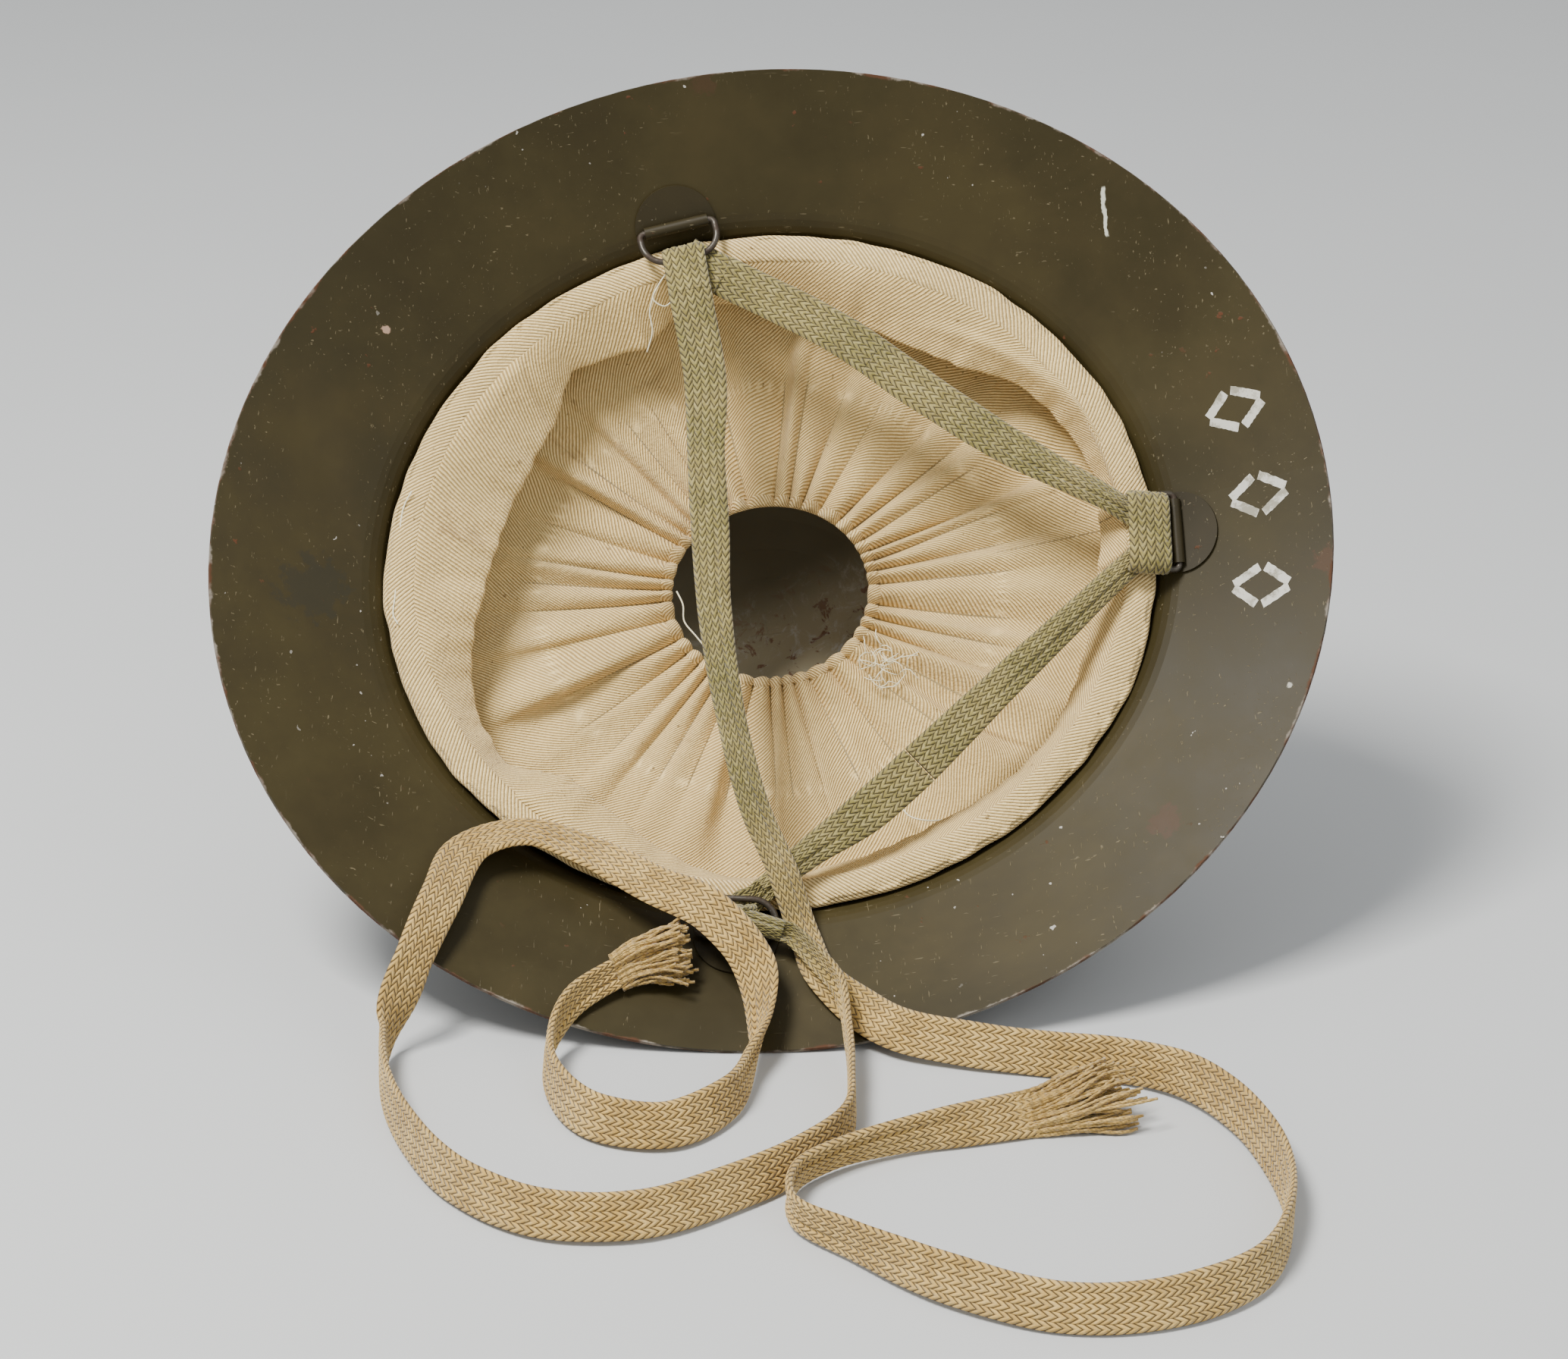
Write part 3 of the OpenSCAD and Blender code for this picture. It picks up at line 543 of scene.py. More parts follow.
def laid(route, up=(0, 0, 1)):
    """A tape along a route: places, run, width and face vectors, and how far it is folded."""
    q, at = spline(route, STEP)
    return [q, at, *frames(q, up), q[:, 4]]


def cut(tape, keep):
    return [rows[keep] for rows in tape]


def braided(q, at, w, n, fold, material, slot, name, flip=1.0):
    """A flat braid: plaits of slanted stitches on both faces of a swept, creased section."""
    c = np.linspace(-1, 1, ACROSS)
    side = np.concatenate([np.ones(ACROSS), -np.ones(ACROSS)])
    c = np.concatenate([c, c[::-1]])
    plait = np.minimum((c + 1) / 2 * PLAITS, PLAITS - 1e-6)
    index = np.floor(plait)
    off = np.abs(2 * (plait - index) - 1)
    run = at[:, None]
    shift = lobes(run[:, 0] / 37.0, (3, 7, 11), len(name))[:, None] * 0.15
    phase = run / PITCH + side * SLANT * off + STAGGER * index + shift
    strand = np.abs(np.sin(np.pi * phase)) ** 0.6
    between = 0.5 + 0.5 * np.sqrt(np.clip(1 - off ** 5, 0, 1))
    groove = np.exp(-((c - 0.32 * side * flip) / 0.08) ** 2) * np.clip((1 - fold) * 5, 0, 1)[:, None]
    relief = between * (0.3 + 0.7 * strand) * (1 - 0.9 * groove)
    half = TAPE_T / 2
    edge = np.sqrt(np.clip(1 - np.abs(c) ** 7, 0, 1))
    a = (TAPE_W * fold / 2)[:, None]
    crease = np.clip(TAPE_T / fold - TAPE_T, 0, 2.6)[:, None] * flip
    bow = crease * (0.5 - np.abs(c) ** 1.3)
    wavy = lobes(run[:, 0] / 29.0, (2, 5, 9), 3 + len(name))[:, None] * 0.25
    height = side * edge * (half - 0.5 + 0.5 * relief - 0.5 * groove) + bow
    place = (q[:, None, :3] + (c * (a + wavy * 0.5))[..., None] * w[:, None]
             + height[..., None] * n[:, None])
    rows, cols = len(q), 2 * ACROSS
    floats = {"plait": np.tile((c + 1) / 2 * PLAITS, rows), "side": np.tile(side, rows),
              "run": np.repeat(run[:, 0] / PITCH + shift[:, 0], cols), "along": np.repeat(run[:, 0], cols)}
    return add_mesh(name, place.reshape(-1, 3), tube_faces(rows, cols), material, floats)


def join(name, objects):
    """One object from several that share a slot."""
    bpy.ops.object.select_all(action="DESELECT")
    for o in objects:
        o.select_set(True)
    bpy.context.view_layer.objects.active = objects[0]
    bpy.ops.object.join()
    objects[0].name = name
    return objects[0]


# Out of the helmet's open side
OPENING = STAND @ np.array([0, 0, -1.0])


def at_point(p, lean, fold):
    return [*p, lean, fold]


def lean_of(d, wide, up=(0, 0, 1)):
    """The lean at direction d whose width lies along the given vector."""
    h = np.cross(up, d)
    m = np.cross(d, h) / np.linalg.norm(d)
    lean = math.degrees(math.atan2(wide @ m, wide @ h))
    return (lean + 90) % 180 - 90


def off_ring(ring, turn, near, y, fold, run, toward, up=(0, 0, 1)):
    """A route's point where its tape goes on from a leg on a ring, with the leg's own width."""
    p = leg_pt(ring, turn, near, y, fold, run)
    wide = ring.vec(rot("z", turn) @ np.array([0, 1.0, 0]))
    return at_point(p, lean_of(np.array(toward[:3]) - p, wide, up), fold)


# Routes, standing: rows [x, y, z, lean in degrees, fold]
mid_points = [[70, 13, 137, 0, 0.9], [45, 22, 151, 0, 1], [20, 32, 166, 0, 1]]
LEFT_CROSS = [
    off_ring(REAR, REAR_A, False, -BIGHT_Y, HITCH_FOLD, FREE_START, mid_points[0], OPENING),
    *mid_points, off_ring(LEFT, LEFT_LOW, False, 0, 1, FREE_START, mid_points[-1], OPENING)]
mid_points = [[71, -24, 82, 0, 0.8], [28, -47, 49, 0, 1], [9, -55, 38, 0, 0.7]]
RIGHT_CROSS = [
    off_ring(REAR, REAR_B, False, BIGHT_Y, HITCH_FOLD, FREE_START, mid_points[0], OPENING), *mid_points,
    off_ring(RIGHT, RIGHT_LOW, False, -LEG_Y, HITCH_FOLD, RIGHT_START, mid_points[-1], OPENING)]
ACROSS_ROUTE = [off_ring(LEFT, LEFT_UP, True, 0, 1, FREE_START, CHIN_TOP)] + [
    [*CHIN_TOP, 5, 1], [*CHIN_BEND, 10, 0.9], [-18, -3, 119, 10, 0.9],
    [-17, -16, 99, 15, 0.8], [-13, -33, 75, 15, 0.7], [-6, -50.5, 51.5, 20, 0.7],
    [2, -62, 36, 25, 0.7], [8, -71, 20, 20, 0.7], [12, -83, 15, 20, 0.8],
    [22, -93, 9.5, 30, 1], [33, -104, 8, 50, 1], [52, -111, 7, 60, 1], [72, -115, 6, 60, 1],
    [92, -119, 6, 60, 1], [109, -129, 7, 60, 1], [121, -147, 7, 65, 1], [128, -172, 6.2, 70, 1],
    [127, -200, 6.5, 90, 1], [116, -225, 7, 105, 1], [93, -238, 6.2, 120, 1],
    [66, -240, 6.2, 120, 1], [39, -228, 7, 120, 1], [16, -209, 6.5, 95, 0.9],
    [2, -194, 6, 90, 0.8], [3, -178, 6, 92, 0.8], [14, -167, 6, 96, 0.8],
    [32, -158, 6, 84, 0.85], [50, -152, 5.9, 64, 0.95], [65, -147, 5.8, 50, 1], [74, -144, 6, 45, 1],
    [83, -140, 6, 45, 1], [90, -137, 6, 45, 1]]
exit_dir = RIGHT.vec(rot("z", EXIT_TURN) @ np.array([0, -1.0, 0]))
exit_w = RIGHT.vec(rot("z", EXIT_TURN) @ np.array([-1.0, 0, 0]))
exit_h = np.cross([0, 0, 1], exit_dir)
exit_h /= np.linalg.norm(exit_h)
EXIT_LEAN = math.degrees(math.atan2(exit_w @ np.cross(exit_dir, exit_h), exit_w @ exit_h))
LEFT_ROUTE = [at_point(RIGHT.pt(exit_pt(EXIT_L + run)), EXIT_LEAN, 0.5) for run in (0.0, 3.0)] + [
    [11, -84, 20, 75, 0.6], [17, -93, 16, 85, 0.7], [*STRAND_END, 90, 0.9],
    [19, -130, 7, 90, 1], [17, -152, 6.5, 95, 1], [4, -170, 6.5, 105, 1],
    [-12, -183, 6.5, 115, 1], [-36, -196, 6.5, 125, 1], [-62, -195, 6.5, 125, 1],
    [-84, -179, 6.5, 115, 1], [-99, -153, 6.5, 105, 1], [-107, -127, 7, 95, 1],
    [-108, -105, 9, 85, 1], [-101, -95, 26, 60, 1], [-94, -79, 37, 40, 1],
    [-87, -59, 43, 15, 1], [-71, -53, 45, 10, 1], [-52, -57, 40, 15, 1],
    [-35, -67, 35, 30, 1], [-19, -78, 32, 45, 1], [-7, -88, 21, 20, 1],
    [-5, -102, 11, 45, 0.8], [-8, -120, 7, 95, 0.8], [-14, -139, 7, 105, 1],
    [-30, -152, 6.5, 125, 1], [-50, -147, 6.5, 120, 1], [-61, -129, 6.5, 105, 1],
    [-63, -111, 8, 95, 0.9], [-57, -97, 14, 80, 0.8], [*LEFT_PARTING, 65, 0.7],
    [-37, -84, 20, 60, 0.8], [-31, -83, 21, 45, 0.9], [-25, -82, 21.5, 32, 1]]


def near_run(q, at, p):
    """The run of a route's sample nearest to a place."""
    return at[np.argmin(np.linalg.norm(q[:, :3] - p, axis=1))]


# Points round a yarn
SIDES = 6
ROUND = np.arange(SIDES) * 2 * math.pi / SIDES


def tube(points, radius, aside):
    """Rows of points round a path. aside is a vector that the path never runs along."""
    d = unit(np.gradient(points, axis=0))
    a = unit(np.cross(d, aside))
    b = np.cross(d, a)
    return points[:, None] + radius * (np.cos(ROUND)[None, :, None] * a[:, None]
                                       + np.sin(ROUND)[None, :, None] * b[:, None])


def yarn_bunch(tape, first, half_width, height, count, seed, over=6.0, up=(0, 0, 1), low=-5.5):
    """Two-ply yarns that open out of a tape's end, from the run first on.

    up is away from what they lie on, low how far down that is, over how far they pass the tape's end."""
    r = np.random.default_rng(seed)
    q, at, w = tape[:3]
    keep = at >= first
    base, wide = q[keep, :3], w[keep]
    span = at[-1] - first
    ahead = (base[-1] - base[-8]) / np.linalg.norm(base[-1] - base[-8])
    up = np.asarray(up, float)
    flat = np.cross(up, ahead) / np.linalg.norm(np.cross(up, ahead))
    flat *= np.sign(flat @ wide[-1])
    verts, faces, relief, tone = [], [], [], []
    for _ in range(count):
        s0, u0 = r.uniform(-1, 1), r.uniform(0, 1) ** 1.3
        reach = span * r.uniform(0.74, 1.0) + over * r.uniform(0, 1) ** 2
        t = np.linspace(0, reach, int(reach / 0.8) + 4)
        f = np.minimum(t / span, 1.0)
        j = (f * (len(base) - 1)).astype(int)
        centre = base[j] + np.maximum(t - span, 0)[:, None] * ahead
        opened = smooth(f, 0.0, 1.0)[:, None] * 0.75 + 0.25 * f[:, None] ** 2
        packed = wide[j] * (s0 * TAPE_W * 0.42) + up * ((u0 - 0.5) * TAPE_T)
        arch = low + 0.6 + u0 * height * math.sqrt(1 - 0.6 * s0 * s0)
        spread = flat * (s0 * half_width) + up * arch
        sway = np.sin(f * r.uniform(3, 10) + r.uniform(0, 6.3)) * r.uniform(0.2, 2.2) * f
        lift = np.sin(f * r.uniform(3, 9) + r.uniform(0, 6.3)) * r.uniform(0, 1.6) * f * u0
        pts = centre + packed * (1 - opened) + spread * opened + sway[:, None] * flat + lift[:, None] * up
        ply = np.cos(2 * ROUND[None] + 2 * math.pi * t[:, None] / 2.6)
        rad = r.uniform(0.40, 0.52) * (1 + 0.16 * ply)
        faces += tube_faces(len(t), SIDES, len(verts) * SIDES)
        verts.extend(tube(pts, rad[..., None], up))
        relief.append((0.64 + 0.26 * ply).ravel())
        tone.append(np.full(len(t) * SIDES, r.uniform(0.1, 1)))
    floats = {"relief": np.concatenate(relief), "tone": np.concatenate(tone)}
    return np.concatenate(verts), faces, floats


def off_table(verts):
    verts[:, 2] = np.maximum(verts[:, 2], 0.2)
    return verts


def off_brim(verts):
    """Keeps points off the brim, on its open side."""
    local = (verts - OFFSET) @ STAND
    radius = np.hypot(local[:, 0], local[:, 1] / RATIO)
    local[:, 2] = np.minimum(local[:, 2], brim_face(radius) - 0.3)
    return stood(local)


# The long tape from the left ring over the right ring's strand, its tail and its frayed end
tape = laid(ACROSS_ROUTE)
q, at = tape[:2]
fray_at = near_run(q, at, RIGHT_PARTING)
long_tape = braided(*cut(tape, at <= fray_at + BRAID_PAST), LONG_TAPE, "tan_tape", "long_tape")
verts, faces, floats = yarn_bunch(tape, fray_at - YARNS_BEFORE, half_width=11.5, height=14, count=150,
                                  seed=21)
long_fray = add_mesh("right_fray", off_table(verts), faces, LOOSE_YARN, floats)
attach(long_fray, "helmet")
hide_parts("chin_tape", "right_tail")
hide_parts("right_frayed_end")
metres(LEFT.pt(root(0, -2)))
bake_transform(long_tape)

# The tape from the right ring: a folded strand, the tail and its frayed end
tape = laid(LEFT_ROUTE)
q, at = tape[:2]
fray_at = near_run(q, at, LEFT_PARTING)
strand_at = near_run(q, at, STRAND_END)
strand = braided(*cut(tape, at <= strand_at), STRAND, "tan_tape", "strand", flip=-1)
keep = (at >= strand_at - STEP * 0.6) & (at <= fray_at + BRAID_PAST)
left_tail = braided(*cut(tape, keep), TAN_TAPE, "tan_tape", "tail_loop", flip=-1)
verts, faces, floats = yarn_bunch(tape, fray_at - YARNS_BEFORE, half_width=8.5, height=6, count=110,
                                  seed=33, over=3.0, up=OPENING, low=-2.5)
left_fray = add_mesh("left_fray", off_brim(verts), faces, LOOSE_YARN, floats)
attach(left_tail, "helmet")
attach(left_fray, "helmet")
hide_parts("left_tail")
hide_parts("left_frayed_end")
metres(RIGHT.pt(exit_pt(EXIT_L)))
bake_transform(strand)

# The two tapes between the rings, each in two halves that meet at this run
HALVES_MEET = 80.0
for name, route, ring_body in (("left_cross", LEFT_CROSS, "left_d_ring"),
                               ("right_cross", RIGHT_CROSS, "right_d_ring")):
    tape = laid(route, OPENING)
    q, at = tape[:2]
    for part, keep, end, body in (("_rear", at <= HALVES_MEET, q[0, :3], "rear_d_ring"),
                                  ("_side", at >= HALVES_MEET - STEP * 0.6, q[-1, :3], ring_body)):
        piece = braided(*cut(tape, keep), GREEN_TAPE, "green_tape", name + part)
        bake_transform(piece)
    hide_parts(name + "_tape")


# Tape on the rings
def on_ring(name, ring, rows):
    """A tape from rows [x, y, z, width vector x, y, z, fold] in a ring's frame."""
    q, at = spline(rows, STEP)
    p = ring.pt(q[:, :3])
    d = unit(np.gradient(p, axis=0))
    w = ring.vec(q[:, 3:6])
    w = unit(w - d * np.sum(w * d, 1)[:, None])
    return braided(p, at, w, np.cross(d, w), q[:, 6], GREEN_TAPE, "green_tape", name)


def leg_rows(turn, y, v, fold, runs):
    d = rot("z", turn) @ np.array([-1.0, 0, 0])
    across = rot("z", turn) @ np.array([0, 1.0, 0])
    return [[*(root(y, v) + d * run), *across, fold] for run in runs]


bend_v = WRAP_IN + TAPE_T / 2
rows = leg_rows(LEFT_LOW, 0, bend_v, 1, (LEG_END, 9, 4))
rows += [[-WEB_X - 1.3, 0, 2.0, 0, 1, 0, 1], [-WEB_X - 0.9, 0, 0, 0, 1, 0, 1],
         [-WEB_X - 1.3, 0, -2.0, 0, 1, 0, 1]]
rows += leg_rows(LEFT_UP, 0, -bend_v, 1, (4, 9, LEG_END))
wrap = on_ring("left_wrap_tape", LEFT, rows)
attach(wrap, "left_d_ring")
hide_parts("left_wrap")

low_v = WRAP_IN + TAPE_T / HITCH_FOLD / 2
rows = leg_rows(RIGHT_LOW, -LEG_Y, low_v, HITCH_FOLD, (RIGHT_LEG_END, 4))
rows += [[-WEB_X - 1.3, -1, 1.6, 0, 1, 0, 0.8], [-WEB_X - 1.0, 0, -2, 0, 1, 0, 0.9],
         [-WEB_X - 0.6, 0.5, -5, 0, 1, 0, 0.8], [-WEB_X + 0.6, 0.5, -7.2, 0.3, 1, 0, 0.6]]
up = on_ring("right_wrap_up", RIGHT, rows)
side_w = rot("z", EXIT_TURN) @ np.array([-1.0, 0, 0])
rows = [[*(exit_pt(run) + np.array([0, 0, dz])), *side_w, 0.5]
        for run, dz in ((-4.5, 2.2), (-1.5, 0.2), (4, 0), (9, 0), (EXIT_L + 0.1, 0))]
out = on_ring("right_wrap_out", RIGHT, rows)
wrap = join("right_wrap_tape", [up, out])
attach(wrap, "right_d_ring")
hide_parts("right_wrap")

# The bight across the viewer's side of the rear ring, and the two legs that come out under it
flat_x = -6.5 - 1.85 - 0.4
rows = [[flat_x + 0.6, -10.5, 2.6, 1, 0.1, 0, 0.9], [flat_x + 0.6, -11.3, 0, 1, 0.1, 0, 1],
        [flat_x + 0.4, -9.6, -bend_v + 0.1, 1, 0.1, 0, 1], [flat_x, 0, -bend_v - 0.3, 1, 0.12, 0, 1],
        [flat_x - 0.4, 9.6, -bend_v + 0.1, 1, 0.1, 0, 1], [flat_x - 0.6, 11.3, 0, 1, 0.1, 0, 1],
        [flat_x - 0.6, 10.5, 2.6, 1, 0.1, 0, 0.9]]
pieces = [on_ring("rear_bight", REAR, rows)]
for k, (turn, y) in enumerate(((REAR_A, -BIGHT_Y), (REAR_B, BIGHT_Y))):
    rows = [[-WEB_X - 0.6, y, -1.2, 0, 1, 0, 0.6], [-WEB_X - 1.4, y, 1.4, 0, 1, 0, 0.6]]
    rows += leg_rows(turn, y, low_v, HITCH_FOLD, (4, 9, LEG_END))
    pieces.append(on_ring("rear_leg_%d" % k, REAR, rows))
hitch = join("rear_hitch_tape", pieces)
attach(hitch, "rear_d_ring")
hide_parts("rear_hitch")


# Liner, in the helmet's own frame
def wrapped_faces(rows, n):
    """Faces of rows round the helmet, where the last row joins the first too."""
    j = np.arange(n)
    k = (j + 1) % n
    o = (rows - 1) * n
    return grid_faces(rows, n) + np.stack([o + j, j, k, o + k], 1).tolist()


def oval_rows(name, profile, material, n=720):
    """Cloth round the liner. profile(angles) gives radius and height, step by step."""
    rows, ribs = [], []
    angle = np.linspace(0, 2 * np.pi, n, endpoint=False)
    run = 0.0
    for r, z in profile(angle):
        rows.append(np.stack([r * np.cos(angle), RATIO * r * np.sin(angle), z + 0 * angle], 1))
        if len(rows) > 1:
            run += float(np.mean(np.linalg.norm(rows[-1] - rows[-2], axis=1)))
        ribs.append((angle * HOOP_R + run) / RIB)
    return add_mesh(name, stood(np.concatenate(rows)), wrapped_faces(len(rows), n), material,
                    {"ribs": np.concatenate(ribs)})


def lip_wave(a):
    """The unevenness of the casing's lip, which the folded band follows."""
    return lobes(a, (5, 9, 14, 23), 5)


def casing_profile(a):
    wave = lip_wave(a)
    ripple = lobes(a, (31, 47, 60), 8)
    lip = LIP_Z + 0.35 * wave
    out = LIP_R + 1.0 * wave + 0.3 * ripple
    steps = [(CASING_IN, lip + 2.2), (CASING_IN + 0.3, lip + 0.8),
             (CASING_IN + 1.4, lip + 0.1 + 0.15 * ripple)]
    for t in np.linspace(0, 1, 8):
        steps.append((CASING_IN + 2.5 + t * (out - CASING_IN - 4.0),
                      lip - 0.35 * np.sin(t * 3.1) + 0.12 * ripple))
    for t in np.linspace(0, 1, 7):
        g = t * math.pi
        steps.append((out - 1.5 + 1.5 * math.sin(g), lip + 1.5 - 1.5 * math.cos(g)))
    return steps + [
        (out - 3.0, lip + 4.0), (CASING_OUT + 0.4 + 0.3 * wave, lip + 5.2), (CASING_OUT, 35),
        (CASING_OUT, CASING_TOP - 1), (CASING_OUT - 1, CASING_TOP), (CASING_IN + 0.5, CASING_TOP),
        (CASING_IN + 0.1, CASING_TOP - 3), (CASING_IN, 34)]


casing = oval_rows("casing_cloth", casing_profile, HEM)
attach(casing, "helmet")
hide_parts("liner_casing")

# The band's free edge: angle, radius as a share of the hoop's, and extra drop
BAND_EDGE = [(0, 0.93, 1), (15, 0.90, 0), (30, 0.92, 2), (45, 0.94, 1), (70, 0.92, 0),
             (90, 0.94, -1), (105, 0.96, -2), (115, 0.92, 0), (128, 0.86, 2), (140, 0.83, 3),
             (150, 0.93, 0), (162, 0.91, 1), (173, 0.86, 0), (185, 0.80, -1), (197, 0.77, 0),
             (215, 0.76, 2), (228, 0.79, 3), (238, 0.87, 0), (253, 0.82, 1), (262, 0.90, 1),
             (275, 0.88, 2), (290, 0.85, 3), (305, 0.82, 1), (317, 0.83, -1), (328, 0.91, 1),
             (340, 0.94, 2), (352, 0.95, 1), (360, 0.93, 1)]

# Where a layer of the band ends over the next one: two places (angle, radius), height and fade
LAYER_ENDS = (((137.7, 87), (145.1, 107), 1.5, 26), ((227.3, 85), (236.9, 118), 1.7, 22),
              ((12, 92), (8, 104), 1.3, 18))


def band_profile(a):
    deg = np.degrees(a)
    places, shares, drops = np.array(BAND_EDGE).T
    share = np.interp(deg, places, shares)
    extra = np.interp(deg, places, drops)
    start = CASING_IN + 1.6
    lip = LIP_Z + 0.35 * lip_wave(a)
    wave = lobes(a, (7, 13, 19), 12)
    fine = lobes(a, (37, 53, 71), 13)

    def row(k, dz):
        r = start + k * (share * HOOP_R - start) + 0.5 * k * fine
        sway = 0.9 * wave * math.sin(math.pi * k) + 1.2 * k * wave + 0.25 * fine * k
        raised = 0.0
        for (a0, r0), (a1, r1), height, fade in LAYER_ENDS:
            gap = a0 + (r - r0) * (a1 - a0) / (r1 - r0) - deg
            raised = raised + height * smooth(gap, 0, 1.2) * (1 - smooth(gap, 1.2, fade))
        ridge = np.exp(-((r - 97 - (deg - 318) * 0.33) / 2.0) ** 2) * smooth(deg, 300, 322)
        raised = raised + 1.8 * ridge * (1 - smooth(deg, 345, 358))
        return r, lip + 0.2 + (9 + extra) * k ** 1.25 + sway - raised * min(1.0, 6 * k) + dz

    ks = np.linspace(0, 1, 18)
    rows = [row(k, 0) for k in ks]
    r, z = row(1.0, 0.55)
    rows.append((r - 0.35, z))
    rows += [row(k, 1.1) for k in ks[::-1]]
    return rows


band = oval_rows("folded_band_cloth", band_profile, COTTON, n=1080)
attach(band, "helmet")
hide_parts("folded_band")

# Pleats round the hole, and millimetres of cloth from the casing to the hole
PLEATS, CROWN_RUN = 40, 78
# Ends of the tear in the crown cloth, in the helmet's frame
TEAR = ((43, 45), (71, 63))


def gathers(a):
    """Phase and height of the pleats round the hole: broad ridges and narrow creases."""
    phase = PLEATS * a + 2.2 * np.sin(3 * a + 0.4) + 1.4 * np.sin(7 * a + 2.0) + 0.7 * np.sin(11 * a + 1.0)
    return phase, np.abs(np.sin(phase / 2)) ** 0.8


def crown_rows():
    """The crown cloth from the casing to the hole on its open side, and back on the other."""
    n, front_rows, back_rows = 1080, 78, 12
    a = np.linspace(0, 2 * np.pi, n, endpoint=False)
    phase, ridge = gathers(a)
    within = np.mod(phase / (2 * np.pi), 1.0) - 0.5
    broad = lobes(a, (6, 9, 13), 31)
    mid = lobes(a, (17, 23, 29), 32)
    reach = 1.5 - 0.9 * lobes(a, (11, 19, 27), 33)
    r0, r1 = CASING_IN - 0.15, HOLE_A + 1.2
    rows, ribs, gathered_ribs, gathered, soiled = [], [], [], [], []
    for side, ks in ((0, np.linspace(0, 1, front_rows)), (1, np.linspace(1, 0, back_rows))):
        for k in ks:
            r = r0 + k * (r1 - r0)
            squeeze = RATIO + k * (HOLE_B / HOLE_A - RATIO)
            pleat = -4.2 * k ** np.clip(reach, 0.7, 2.4) * (ridge - 0.6)
            wrinkle = 3.4 * (np.sin(np.pi * k) ** 0.8 * broad + np.sin(np.pi * min(1, k * 1.15)) * mid)
            swirl = 0.035 * np.sin(np.pi * k) * mid
            z = (CASING_TOP - CLOTH_T + (HOLE_Z - CASING_TOP + CLOTH_T) * math.sin(math.pi / 2 * k)
                 + pleat + wrinkle + side * CLOTH_T)
            rr = r + 0.8 * k ** 3 * (2 * ridge - 1)
            place = np.stack([rr * np.cos(a + swirl), squeeze * rr * np.sin(a + swirl), z], 1)
            tear = np.exp(-(line_gap(place[:, :2], TEAR) / 0.5) ** 2)
            place[:, 2] += 0.9 * tear
            rows.append(place)
            run = CROWN_RUN * k
            ribs.append((a * HOOP_R + run) / RIB)
            gathered_ribs.append((within * 2 * np.pi * r / PLEATS * 1.4 + run) / RIB)
            gathered.append(np.full(n, smooth(k, 0.38, 0.55)))
            soiled.append(0.7 * k ** 5 * ridge + 0.9 * tear)
    floats = {"ribs": np.concatenate(ribs), "gathered_ribs": np.concatenate(gathered_ribs),
              "gathered": np.concatenate(gathered), "soiled": np.concatenate(soiled)}
    return stood(np.concatenate(rows)), wrapped_faces(len(rows), n), floats


def line_gap(p, ends):
    """Distance of points from the stretch between two places."""
    start, end = np.array(ends[0], float), np.array(ends[1], float)
    along = end - start
    t = np.clip((p - start) @ along / (along @ along), 0, 1)
    return np.linalg.norm(p - start - t[:, None] * along, axis=1)


verts, faces, floats = crown_rows()
crown = add_mesh("crown_cloth_gathered", verts, faces, COTTON, floats)
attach(crown, "helmet")
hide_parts("crown_cloth")


def hem_rows():
    """The pleated hem round the hole, a puckered tube with the cord inside."""
    n, sides = 1200, 16
    a = np.linspace(0, 2 * np.pi, n, endpoint=False)
    _, pucker = gathers(a)
    rows, ribs = [], []
    for g in range(sides):
        ang = 2 * math.pi * g / sides
        rr = HOLE_A + 0.2 + 0.9 * pucker + (1.2 + 1.5 * pucker) * math.cos(ang)
        z = HOLE_Z + 0.9 - 2.2 * (pucker - 0.6) + (0.9 + 1.0 * pucker) * math.sin(ang)
        rows.append(np.stack([rr * np.cos(a), (HOLE_B / HOLE_A) * rr * np.sin(a), z], 1))
        ribs.append((a * HOLE_A * 1.6 + ang * 2.0) / RIB)
    floats = {"ribs": np.concatenate(ribs), "soiled": np.tile(0.8 * pucker, sides)}
    return stood(np.concatenate(rows)), wrapped_faces(sides, n), floats


verts, faces, floats = hem_rows()
hem = add_mesh("gathered_hem", verts, faces, HEM, floats)
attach(hem, "helmet")
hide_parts("drawstring")


# Stencilled lozenges on the brim: their angles, their corners in a box 10 by 16, the share of a side left
# bare at a corner, the box's outer radius and the radius that their width is measured on
LOZENGE_ANGLES = (14.1, 1.9, -10.0)
LOZENGE = np.array([(5, 15.6), (9.6, 8), (5, 0.4), (0.4, 8)], float)
BRIDGE, LOZENGE_R, WIDTH_R = 0.10, 150.5, 141.9


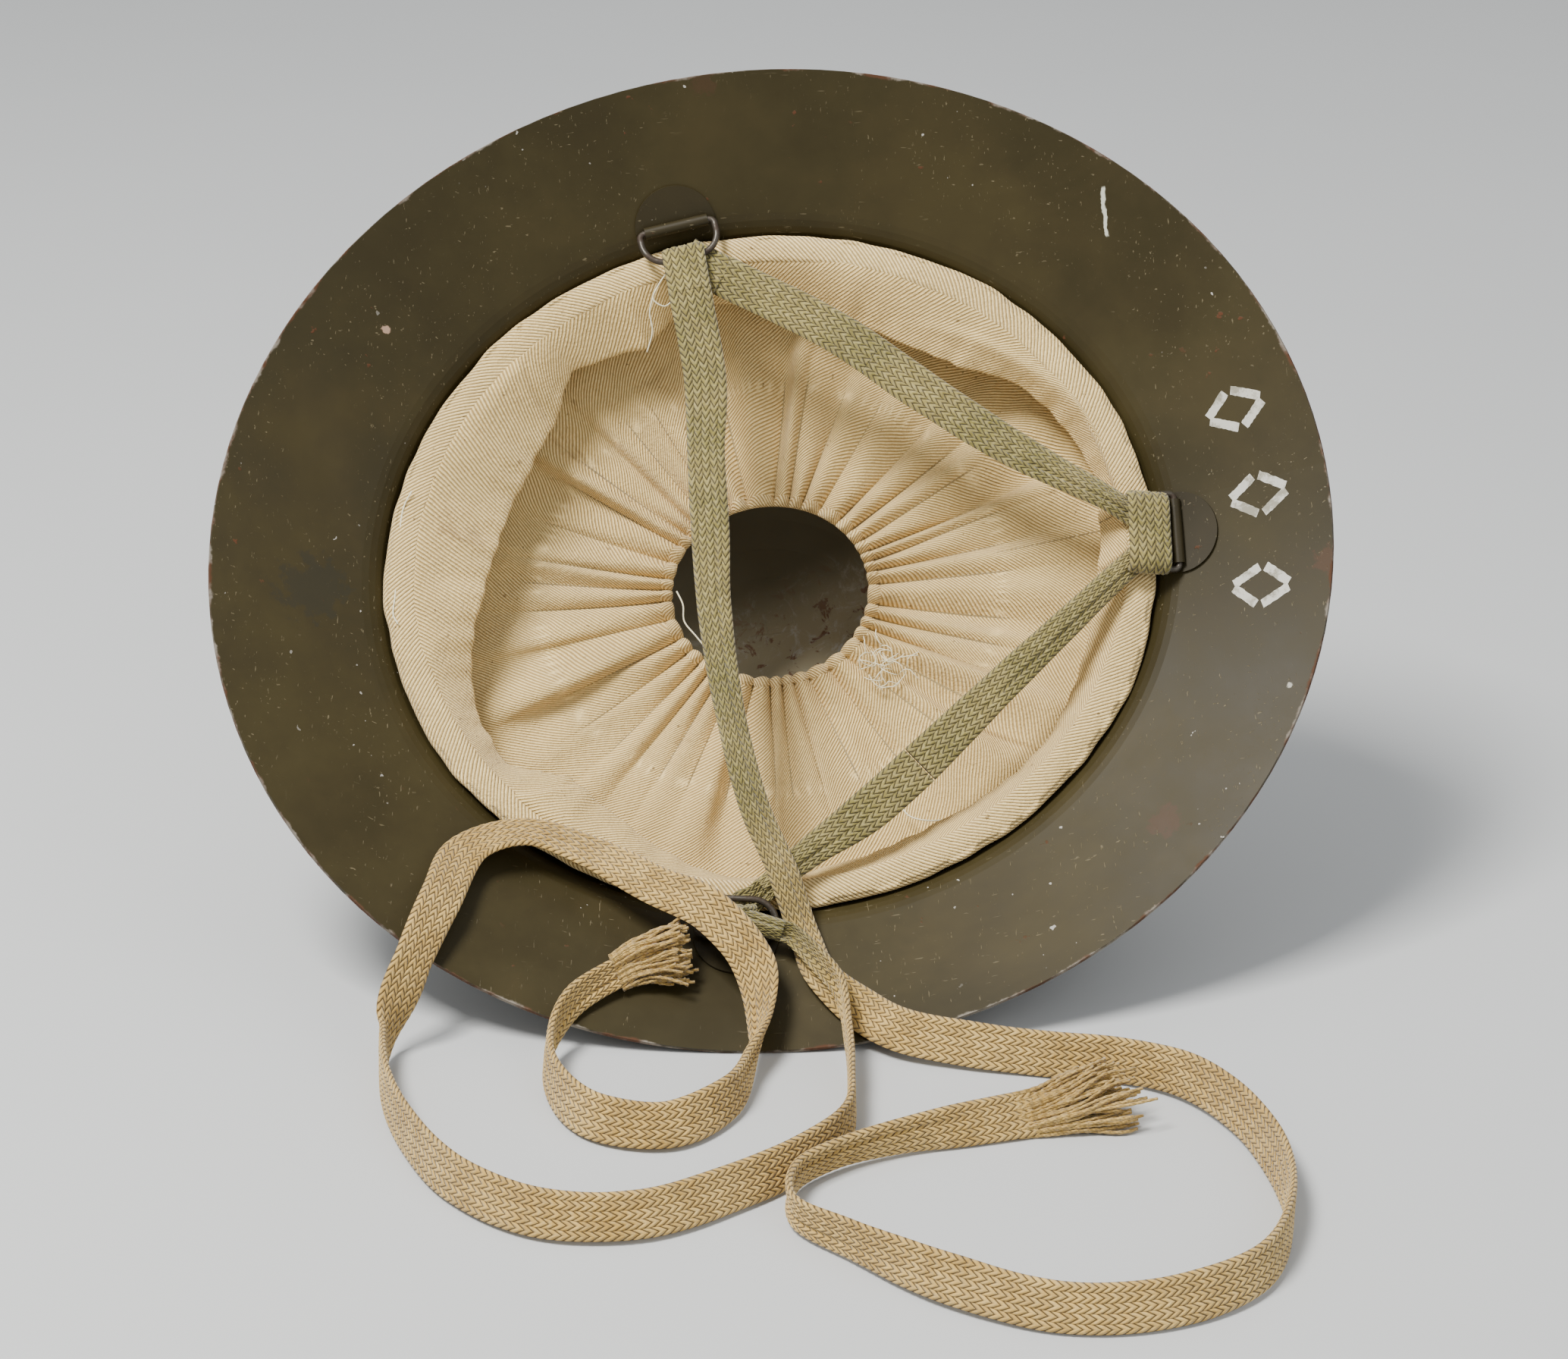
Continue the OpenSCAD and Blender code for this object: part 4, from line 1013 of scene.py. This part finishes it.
def stencil():
    material, net = new_material("stencil_paint")
    wear = net.ramp(net.noise(190, 5, 0.7), 0.46, 0.60)
    net.surface(Base_Color=net.mix(wear, (0.52, 0.50, 0.43), (0.26, 0.24, 0.18)), Roughness=0.6)
    verts, faces = [], []
    r = np.random.default_rng(4)
    for mid in LOZENGE_ANGLES:
        for corner, way in zip(LOZENGE, np.roll(LOZENGE, -1, axis=0) - LOZENGE):
            pts = corner + way * np.linspace(BRIDGE, 1 - BRIDGE, 13)[:, None]
            side = np.array([-way[1], way[0]]) / np.linalg.norm(way)
            start = len(verts)
            for p, wide in zip(pts, 1.0 + r.uniform(-0.10, 0.10, len(pts))):
                for k in (-1, -0.33, 0.33, 1):
                    # x runs round the brim, y from the brim's edge towards the wall
                    x, y = p + side * wide * k
                    radius = LOZENGE_R - y * 1.08
                    ang = math.radians(mid) - (x - 5) * 1.5 / WIDTH_R
                    verts.append([radius * math.cos(ang), RATIO * radius * math.sin(ang),
                                  brim_face(radius) - 0.12])
            for i in range(len(pts) - 1):
                for o in range(start + i * 4, start + i * 4 + 3):
                    faces.append([o, o + 1, o + 5, o + 4])
    return add_mesh("stencil_lozenges", stood(verts), faces, material)


marks = stencil()
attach(marks, "helmet")


# Loose threads on the liner, in the helmet's own frame
def thread(name, points, radius=0.24):
    p, _ = spline(stood(points), 1.0)
    verts = tube(p, radius, [0.2, 0.9, 0.4]).reshape(-1, 3)
    return add_mesh(name, verts, tube_faces(len(p), SIDES), PALE_YARN)


THREADS = (
    [(-15.5, -97, 20.5), (-16, -94, 21), (-16.5, -91, 21.5), (-14.5, -87, 22), (-12.5, -84.5, 21)],
    [(-15.8, -93, 21), (-19.5, -89, 21), (-22, -85, 22), (-19, -82.5, 23), (-16.5, -84, 24)],
    [(-21.8, -86, 22.5), (-23.5, -82, 25), (-23.5, -77, 28), (-26, -72, 32)],
    [(-100.5, -38, 21.5), (-103.5, -34, 22.8), (-106, -26, 23.4), (-108, -16, 23.6), (-109.8, -8, 23.4),
     (-111, -2.5, 22.8), (-110, 0.5, 22)],
    [(-28, -3.5, 54.2), (-26.8, 1, 53.6), (-27.2, 6, 53.6), (-24.5, 11, 53.4), (-21.6, 16, 53.2)],
    [(27, 73, 44), (29, 76.5, 42.6), (35, 79, 41.2), (42, 79.2, 40.4), (50, 78.6, 39.6)])
pieces = [thread("thread_%d" % k, points) for k, points in enumerate(THREADS)]
# The worn-through place beside the hole, with its broken yarns
WORN_PLACE, WORN_SPREAD = np.array([31.5, 27.5, 54.0]), (3.4, 4.2, 0.5)
r = np.random.default_rng(15)
for k in range(30):
    start = WORN_PLACE + r.normal(0, 1, 3) * WORN_SPREAD
    heading = r.uniform(0, 2 * math.pi)
    turn = r.uniform(-1.6, 1.6)
    points = []
    for t in np.linspace(0, 1, 6):
        ang = heading + turn * t
        size = r.uniform(5, 6.5) * t
        lift = 3.2 * math.sin(math.pi * t * 0.9) * (0.4 + 0.6 * (k % 5) / 4)
        points.append(start + (size * math.cos(ang), size * math.sin(ang), -lift))
    pieces.append(thread("fuzz_%d" % k, points, 0.15))
threads = join("loose_threads", pieces)
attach(threads, "helmet")


# Floor and light
plane = bpy.data.meshes.new("floor")
plane.from_pydata([(-4, -3, 0), (4, -3, 0), (4, 6, 0), (-4, 6, 0)], [], [[0, 1, 2, 3]])
floor = bpy.data.objects.new("floor", plane)
bpy.context.scene.collection.objects.link(floor)
material, net = new_material("pale_floor")
net.surface(Base_Color=net.mix(net.noise(3, 3), (0.50, 0.51, 0.51), (0.54, 0.55, 0.55)), Roughness=0.7)
plane.materials.append(material)

world = bpy.data.worlds.new("studio")
world.use_nodes = True
background = world.node_tree.nodes["Background"]
background.inputs["Color"].default_value = (0.93, 0.95, 0.97, 1)
background.inputs["Strength"].default_value = 0.66
bpy.context.scene.world = world
LIT_PLACE = (0, 0, 0.1)


def area(name, place, size, power, color=(1, 1, 1)):
    light = bpy.data.lights.new(name, "AREA")
    light.size = size
    light.energy = power
    light.color = color
    obj = bpy.data.objects.new(name, light)
    obj.location = place
    obj.rotation_euler = (Vector(LIT_PLACE) - Vector(place)).to_track_quat("-Z", "Y").to_euler()
    bpy.context.scene.collection.objects.link(obj)


area("key", (-0.6, -0.5, 1.5), 0.5, 50, (1.0, 0.985, 0.955))
area("fill", (0.9, -0.9, 0.9), 0.9, 4, (0.96, 0.98, 1.0))
area("back", (0.1, 1.2, 1.3), 1.0, 3)
